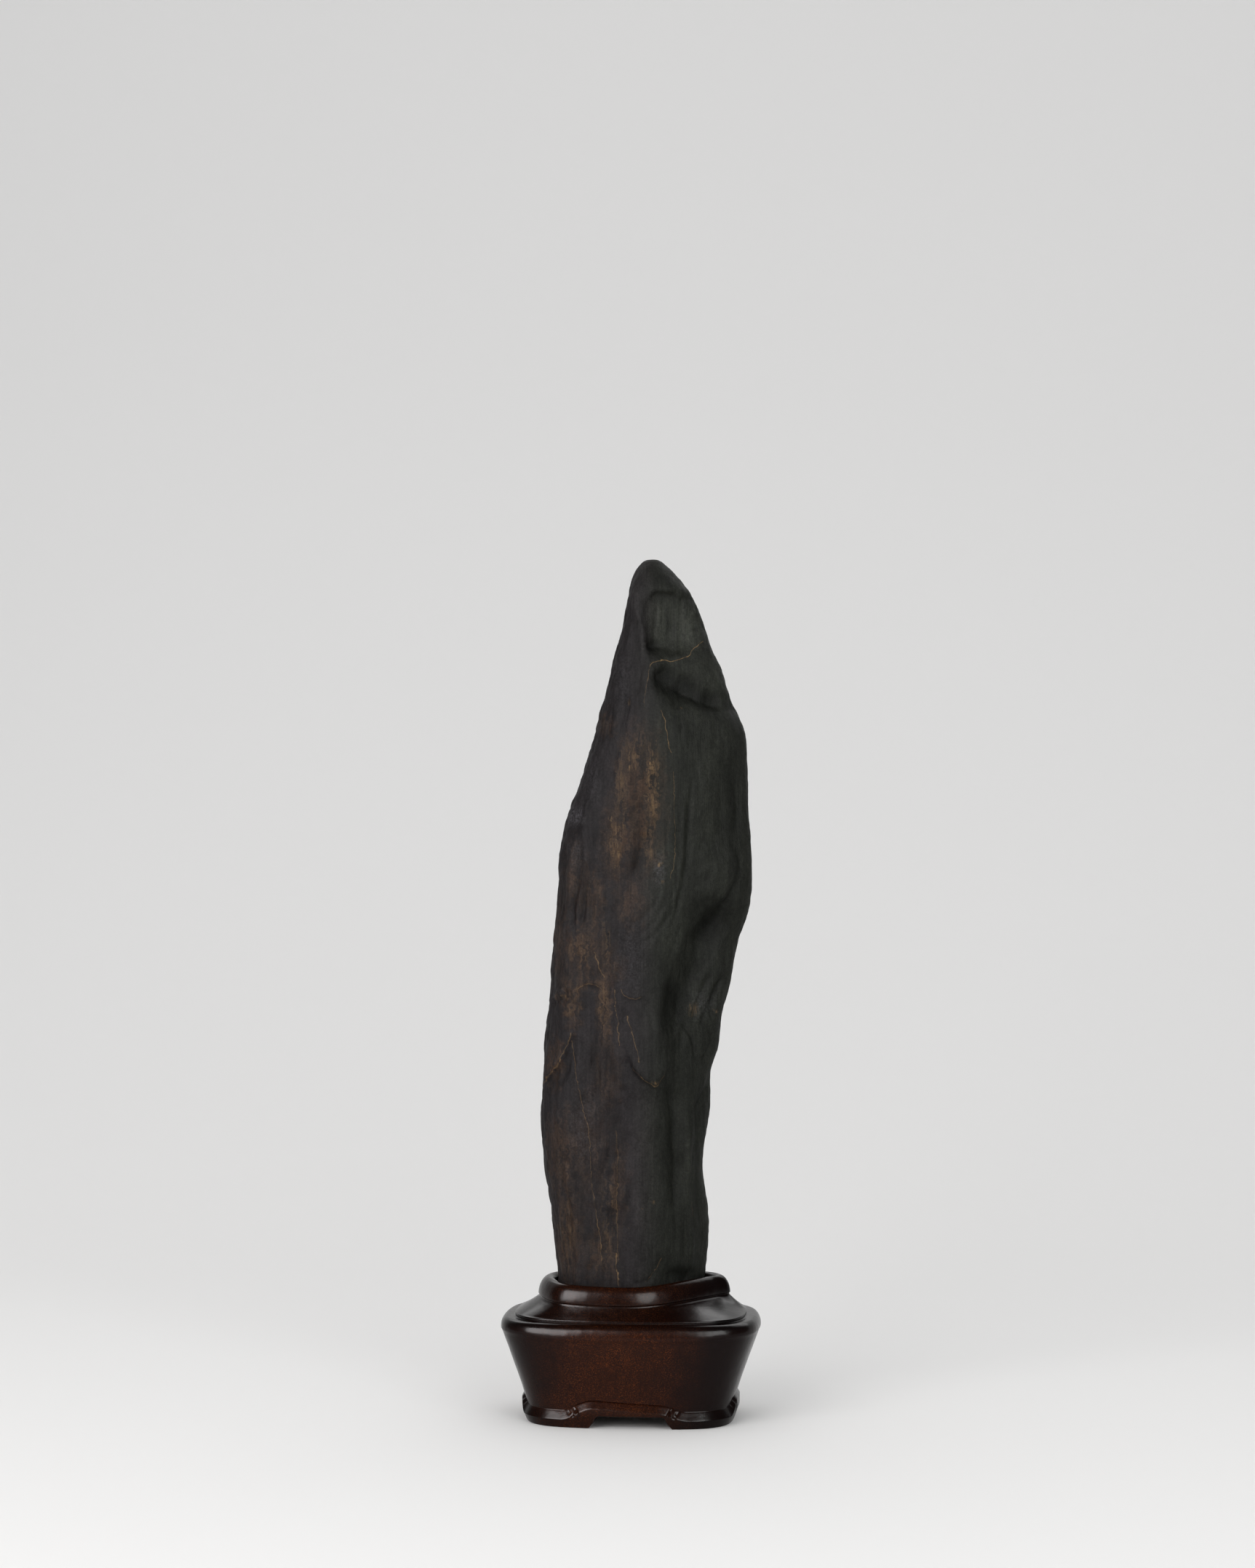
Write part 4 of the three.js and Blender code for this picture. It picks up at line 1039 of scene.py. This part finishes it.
def lacquered_hardwood(settings):
    """Close-grained hardwood, stained nearly black at the edges and left redder in the middle of each panel,
    under thin rubbed lacquer: it gives sharp soft-edged highlights over a dark red ground with fine pores."""
    m = Nodes("lacquered_hardwood")
    stain, wood, fleck = [(*getattr(settings, name), 1) for name in ("stain", "wood", "fleck")]
    place = m.add("TexCoord", out="Object")
    mm = m.add("VectorMath", {0: place, "Scale": 1 / MM}, operation="SCALE")
    split = m.add("SeparateXYZ", {0: mm}, out=None).outputs

    # The real pores are about 0.1 mm wide, too fine to show, and are drawn four or five times as wide.
    way = m.add("Mapping", {"Vector": mm, "Scale": lump(0.526, 0.526, 0.385)})
    pores = m.add("TexNoise", {"Vector": way, "Scale": 1, "Detail": 5, "Roughness": 0.75})
    way = m.add("Mapping", {"Vector": mm, "Scale": lump(2, 2, 9.09)})
    grain = m.add("TexNoise", {"Vector": way, "Scale": 1, "Detail": 6, "Roughness": 0.6, "Distortion": 0.4})
    patches = m.add("TexNoise", {"Vector": mm, "Scale": 1 / 8.33, "Detail": 5, "Roughness": 0.6})
    cloud = m.add("TexNoise", {"Vector": mm, "Scale": 1 / 22.2, "Detail": 3})

    # The stain is thin in the middle of the panels and of the collar, and thick towards the ends and rims.
    off = m.add("Math", {0: split["X"], 1: 5}, operation="ADD")
    spread = m.add("Math", {0: off}, operation="ABSOLUTE")
    wobble = m.add("Math", {0: cloud, 1: 26, 2: spread}, operation="MULTIPLY_ADD")
    middle = m.add("MapRange", {"Value": wobble, "From Min": 58, "From Max": 20},
                   interpolation_type="SMOOTHSTEP")
    worn = m.add("MapRange", {"Value": grain, "From Min": 0.3, "From Max": 0.7, "To Min": 0.55, "To Max": 1})
    thin = m.add("Math", {0: middle, 1: worn}, operation="MULTIPLY")
    sparks = m.add("MapRange", {"Value": pores, "From Min": 0.5, "From Max": 0.64})
    rubbed = m.add("MapRange", {"Value": patches, "From Min": 0.38, "From Max": 0.62, "To Min": 0.35})
    for factor in (rubbed, thin):
        sparks = m.add("Math", {0: sparks, 1: factor}, operation="MULTIPLY")
    holes = m.add("MapRange", {"Value": pores, "From Min": 0.46, "From Max": 0.3, "To Max": 0.35})
    colour = stain
    for share, other in ((thin, wood), (sparks, fleck), (holes, stain)):
        colour = m.add("Mix", {0: share, 6: colour, 7: other}, out=2, data_type="RGBA")

    # Painted shade darkens the lip's shoulder and the hollow under the collar, and reaches onto the collar;
    # the feet are darker as well.
    up = m.add("MapRange", {"Value": split["Z"], "From Min": 39.4, "From Max": 41.5})
    down = m.add("MapRange", {"Value": split["Z"], "From Min": 50.6, "From Max": 49.2, "To Min": 0.7})
    shaded_recess = m.add("Math", {0: up, 1: down}, operation="MULTIPLY")
    dark = m.add("Math", {0: shaded_recess, 1: -0.62, 2: 1}, operation="MULTIPLY_ADD")
    low = m.add("MapRange", {"Value": split["Z"], "From Min": 5.5, "From Max": 9, "To Min": 0.68})
    for factor in (dark, low):
        colour = m.add("VectorMath", {0: colour, "Scale": factor}, operation="SCALE")

    rub = m.add("MapRange", {"Value": grain, "From Min": 0.3, "From Max": 0.7, "To Min": 0.19,
                             "To Max": 0.25})
    # The lacquer's skin is gently uneven, 2 mm from swell to swell, and sinks a little at each pore.
    peel = m.add("TexNoise", {"Vector": mm, "Scale": 1 / 2, "Detail": 3})
    height = m.add("Math", {0: pores, 1: 0.35, 2: peel}, operation="MULTIPLY_ADD")
    bump = m.add("Bump", {"Height": height, "Strength": 0.35, "Distance": 0.12 * MM})
    m.feed(m.shader, {"Base Color": colour, "Roughness": rub, "IOR": 1.5, "Specular IOR Level": 0.1,
                      "Normal": bump})
    return m.material


class SCHOLARSROCK_OT_stand(bpy.types.Operator):
    """Makes the carved and lacquered stand."""

    bl_idname = "scholarsrock.stand"
    bl_label = "Stand"

    def execute(self, context):
        settings = context.scene.scholarsrock_stand
        mesh = stand_mesh(settings.spacing / MM)
        if any(edge.is_loose for edge in mesh.edges):
            raise RuntimeError("the stand's surface has loose edges")
        mesh.shade_smooth()
        mesh.set_sharp_from_angle(angle=math.radians(50))
        mesh.materials.append(lacquered_hardwood(settings))
        stand = link("carved_stand", mesh)
        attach(stand, "root")
        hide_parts("wood_stand")
        return {"FINISHED"}


# ---- The studio ----

# Softboxes: azimuth, which is 0 in front and grows to the right, elevation, distance, size, the setting that
# gives the power and the share of it, colour, and which surfaces they show on. A real softbox is far brighter
# than the paper, and only polished surfaces show how much, so the shines are lamps of their own.
LAMPS = {
    "left_softbox": (-32, 25, 1.4, (1, 0.8), "flash", 1, (1, 0.99, 0.985), "matt"),
    "right_softbox": (31, 25, 1.4, (0.8, 0.8), "flash", 0.55, (0.985, 1, 0.99), "matt"),
    "ceiling_bounce": (180, 78, 2.2, (3, 2.4), "ceiling", 1, (1, 1, 1), "matt"),
    "left_shine": (-37, 20, 1.4, (0.9, 0.9), "shine", 1, (1, 0.98, 0.99), "polished"),
    "right_shine": (34, 20, 1.4, (0.76, 0.9), "shine", 0.5, (0.98, 1, 0.99), "polished"),
    "rear_shine": (172, 44, 1.5, (2.2, 0.9), "shine", 0.27, (1, 1, 1), "polished"),
}
LAMPS_FACE = (0, 0, 0.15)
# The strength of the tent round the studio, as matt and as polished surfaces show it.
TENT = (0.52, 0.1)
# How far the camera's aim is to the right of the stone's axis.
AIM_ASIDE = -1.05


class StageSettings(bpy.types.PropertyGroup):
    """The studio: camera, backdrop and lamps."""

    turn: bpy.props.FloatProperty(
        name="Turn", description="How far the camera stands to the right of straight in front",
        default=STONE_TURN, subtype="ANGLE",
    )
    away: bpy.props.FloatProperty(
        name="Distance", description="From the camera to the stone", default=VIEWER_AWAY * MM, unit="LENGTH"
    )
    lens: bpy.props.FloatProperty(
        name="Lens", description="Focal length on a 36 mm frame", default=72.17, unit="CAMERA"
    )
    paper: bpy.props.FloatVectorProperty(
        name="Paper", description="Colour of the backdrop", subtype="COLOR", default=paint("#edeceb")
    )
    flash: bpy.props.FloatProperty(
        name="Flash", description="Power of the left front lamp", default=8.5, unit="POWER"
    )
    ceiling: bpy.props.FloatProperty(
        name="Ceiling", description="Power of the light that the ceiling sends back", default=12, unit="POWER"
    )
    shine: bpy.props.FloatProperty(
        name="Shine", description="Power of the left front lamp as polished surfaces show it", default=60,
        unit="POWER",
    )


def make_camera(settings):
    """A level camera in front of the object, a little to its right."""
    lens = bpy.data.cameras.new("camera")
    lens.sensor_width = 36
    lens.lens = settings.lens
    camera = bpy.data.objects.new("camera", lens)
    c, s = math.cos(settings.turn), math.sin(settings.turn)
    aside = AIM_ASIDE * MM
    camera.location = (
        aside * c + settings.away * s + STONE_SHIFT * MM, aside * s - settings.away * c, VIEWER_UP * MM,
    )
    camera.rotation_euler = (math.pi / 2, 0, settings.turn)
    bpy.context.scene.collection.objects.link(camera)
    bpy.context.scene.camera = camera


def make_paper(settings):
    """A wide sheet of paper that lies flat under the object and sweeps up behind it. Its sizes are metres."""
    flat_from, flat_to, bend, high, half_width, steps = -3, 0.35, 1.6, 3.4, 3.2, 24
    sweep = [(flat_from, 0)]
    for k in range(steps + 1):
        turn = math.pi / 2 * k / steps
        sweep.append((flat_to + bend * math.sin(turn), bend * (1 - math.cos(turn))))
    sweep.append((flat_to + bend, high))
    bm = bmesh.new()
    line = [bm.verts.new((-half_width, y, z)) for y, z in sweep]
    edges = [bm.edges.new(pair) for pair in zip(line, line[1:])]
    swept = bmesh.ops.extrude_edge_only(bm, edges=edges)["geom"]
    moved = [item for item in swept if isinstance(item, bmesh.types.BMVert)]
    bmesh.ops.translate(bm, verts=moved, vec=(2 * half_width, 0, 0))
    bmesh.ops.recalc_face_normals(bm, faces=bm.faces)
    mesh = bpy.data.meshes.new("paper")
    bm.to_mesh(mesh)
    bm.free()
    mesh.shade_smooth()
    mesh.materials.append(matt_paper(settings))
    paper = link("paper", mesh)


def matt_paper(settings):
    """Uncoated background paper: it gives an even pale ground with soft shadows and no gloss."""
    m = Nodes("matt_paper")
    m.feed(m.shader, {"Base Color": (*settings.paper, 1), "Roughness": 0.9, "Specular IOR Level": 0.2})
    return m.material


def make_lamp(name, azimuth, elevation, away, size, power, colour):
    """One softbox that faces the object and isn't seen itself."""
    lamp = bpy.data.lights.new(name, "AREA")
    lamp.shape = "RECTANGLE"
    lamp.size, lamp.size_y = size
    lamp.energy = power
    lamp.color = colour
    holder = bpy.data.objects.new(name, lamp)
    a, e = math.radians(azimuth), math.radians(elevation)
    back = Vector((math.sin(a) * math.cos(e), -math.cos(a) * math.cos(e), math.sin(e)))
    holder.location = Vector(LAMPS_FACE) + back * away
    holder.rotation_euler = (-back).to_track_quat("-Z", "Y").to_euler()
    holder.visible_camera = False
    bpy.context.scene.collection.objects.link(holder)
    return holder


def make_room():
    """The pale tent round the studio, which sends soft light from all sides. Polished surfaces show it much
    darker than it is, because the room beyond the lamps is dark."""
    world = bpy.data.worlds.new("room")
    world.use_nodes = True
    tree = world.node_tree
    tent = tree.nodes["Background"]
    tent.inputs["Color"].default_value = (0.98, 0.99, 1, 1)
    path = tree.nodes.new("ShaderNodeLightPath")
    level = tree.nodes.new("ShaderNodeMapRange")
    tree.links.new(path.outputs["Is Glossy Ray"], level.inputs["Value"])
    level.inputs["To Min"].default_value, level.inputs["To Max"].default_value = TENT
    tree.links.new(level.outputs[0], tent.inputs["Strength"])
    bpy.context.scene.world = world


class SCHOLARSROCK_OT_stage(bpy.types.Operator):
    """Makes the camera, the paper backdrop and the lamps."""

    bl_idname = "scholarsrock.stage"
    bl_label = "Studio"

    def execute(self, context):
        settings = context.scene.scholarsrock_stage
        kept = set(frame["nodes"].values()) | set(frame["bodies"].values())
        for extra in [thing for thing in bpy.data.objects if thing not in kept]:
            bpy.data.objects.remove(extra)
        make_camera(settings)
        make_paper(settings)
        for name, (*place, size, source, share, colour, shows_on) in LAMPS.items():
            lamp = make_lamp(name, *place, size, getattr(settings, source) * share, colour)
            lamp.visible_glossy = shows_on == "polished"
            lamp.visible_diffuse = shows_on == "matt"
        make_room()
        context.scene.view_settings.view_transform = "Standard"
        return {"FINISHED"}


class SCHOLARSROCK_PT_panel(bpy.types.Panel):
    """The sizes, the colours and the buttons that make each piece."""

    bl_idname = "SCHOLARSROCK_PT_panel"
    bl_label = "Scholar's Rock"
    bl_space_type = "VIEW_3D"
    bl_region_type = "UI"
    bl_category = "Scholar's Rock"

    def draw(self, context):
        for name, operator in PIECES:
            box = self.layout.box()
            settings = getattr(context.scene, name)
            for key in type(settings).__annotations__:
                box.prop(settings, key)
            box.operator(operator)


PIECES = (
    ("scholarsrock_stage", "scholarsrock.stage"),
    ("scholarsrock_stand", "scholarsrock.stand"),
    ("scholarsrock_stone", "scholarsrock.stone"),
)
SETTINGS = {
    "scholarsrock_stage": StageSettings,
    "scholarsrock_stand": StandSettings,
    "scholarsrock_stone": StoneSettings,
}
CLASSES = (
    *SETTINGS.values(), SCHOLARSROCK_OT_stage, SCHOLARSROCK_OT_stand, SCHOLARSROCK_OT_stone,
    SCHOLARSROCK_PT_panel,
)


def register():
    for cls in CLASSES:
        bpy.utils.register_class(cls)
    for name, group in SETTINGS.items():
        setattr(bpy.types.Scene, name, bpy.props.PointerProperty(type=group))


def unregister():
    for name in SETTINGS:
        delattr(bpy.types.Scene, name)
    for cls in reversed(CLASSES):
        bpy.utils.unregister_class(cls)


def main():
    """Makes everything in order."""
    register()
    bpy.ops.scholarsrock.stage()
    bpy.ops.scholarsrock.stand()
    bpy.ops.scholarsrock.stone()


if __name__ == "__main__":
    main()
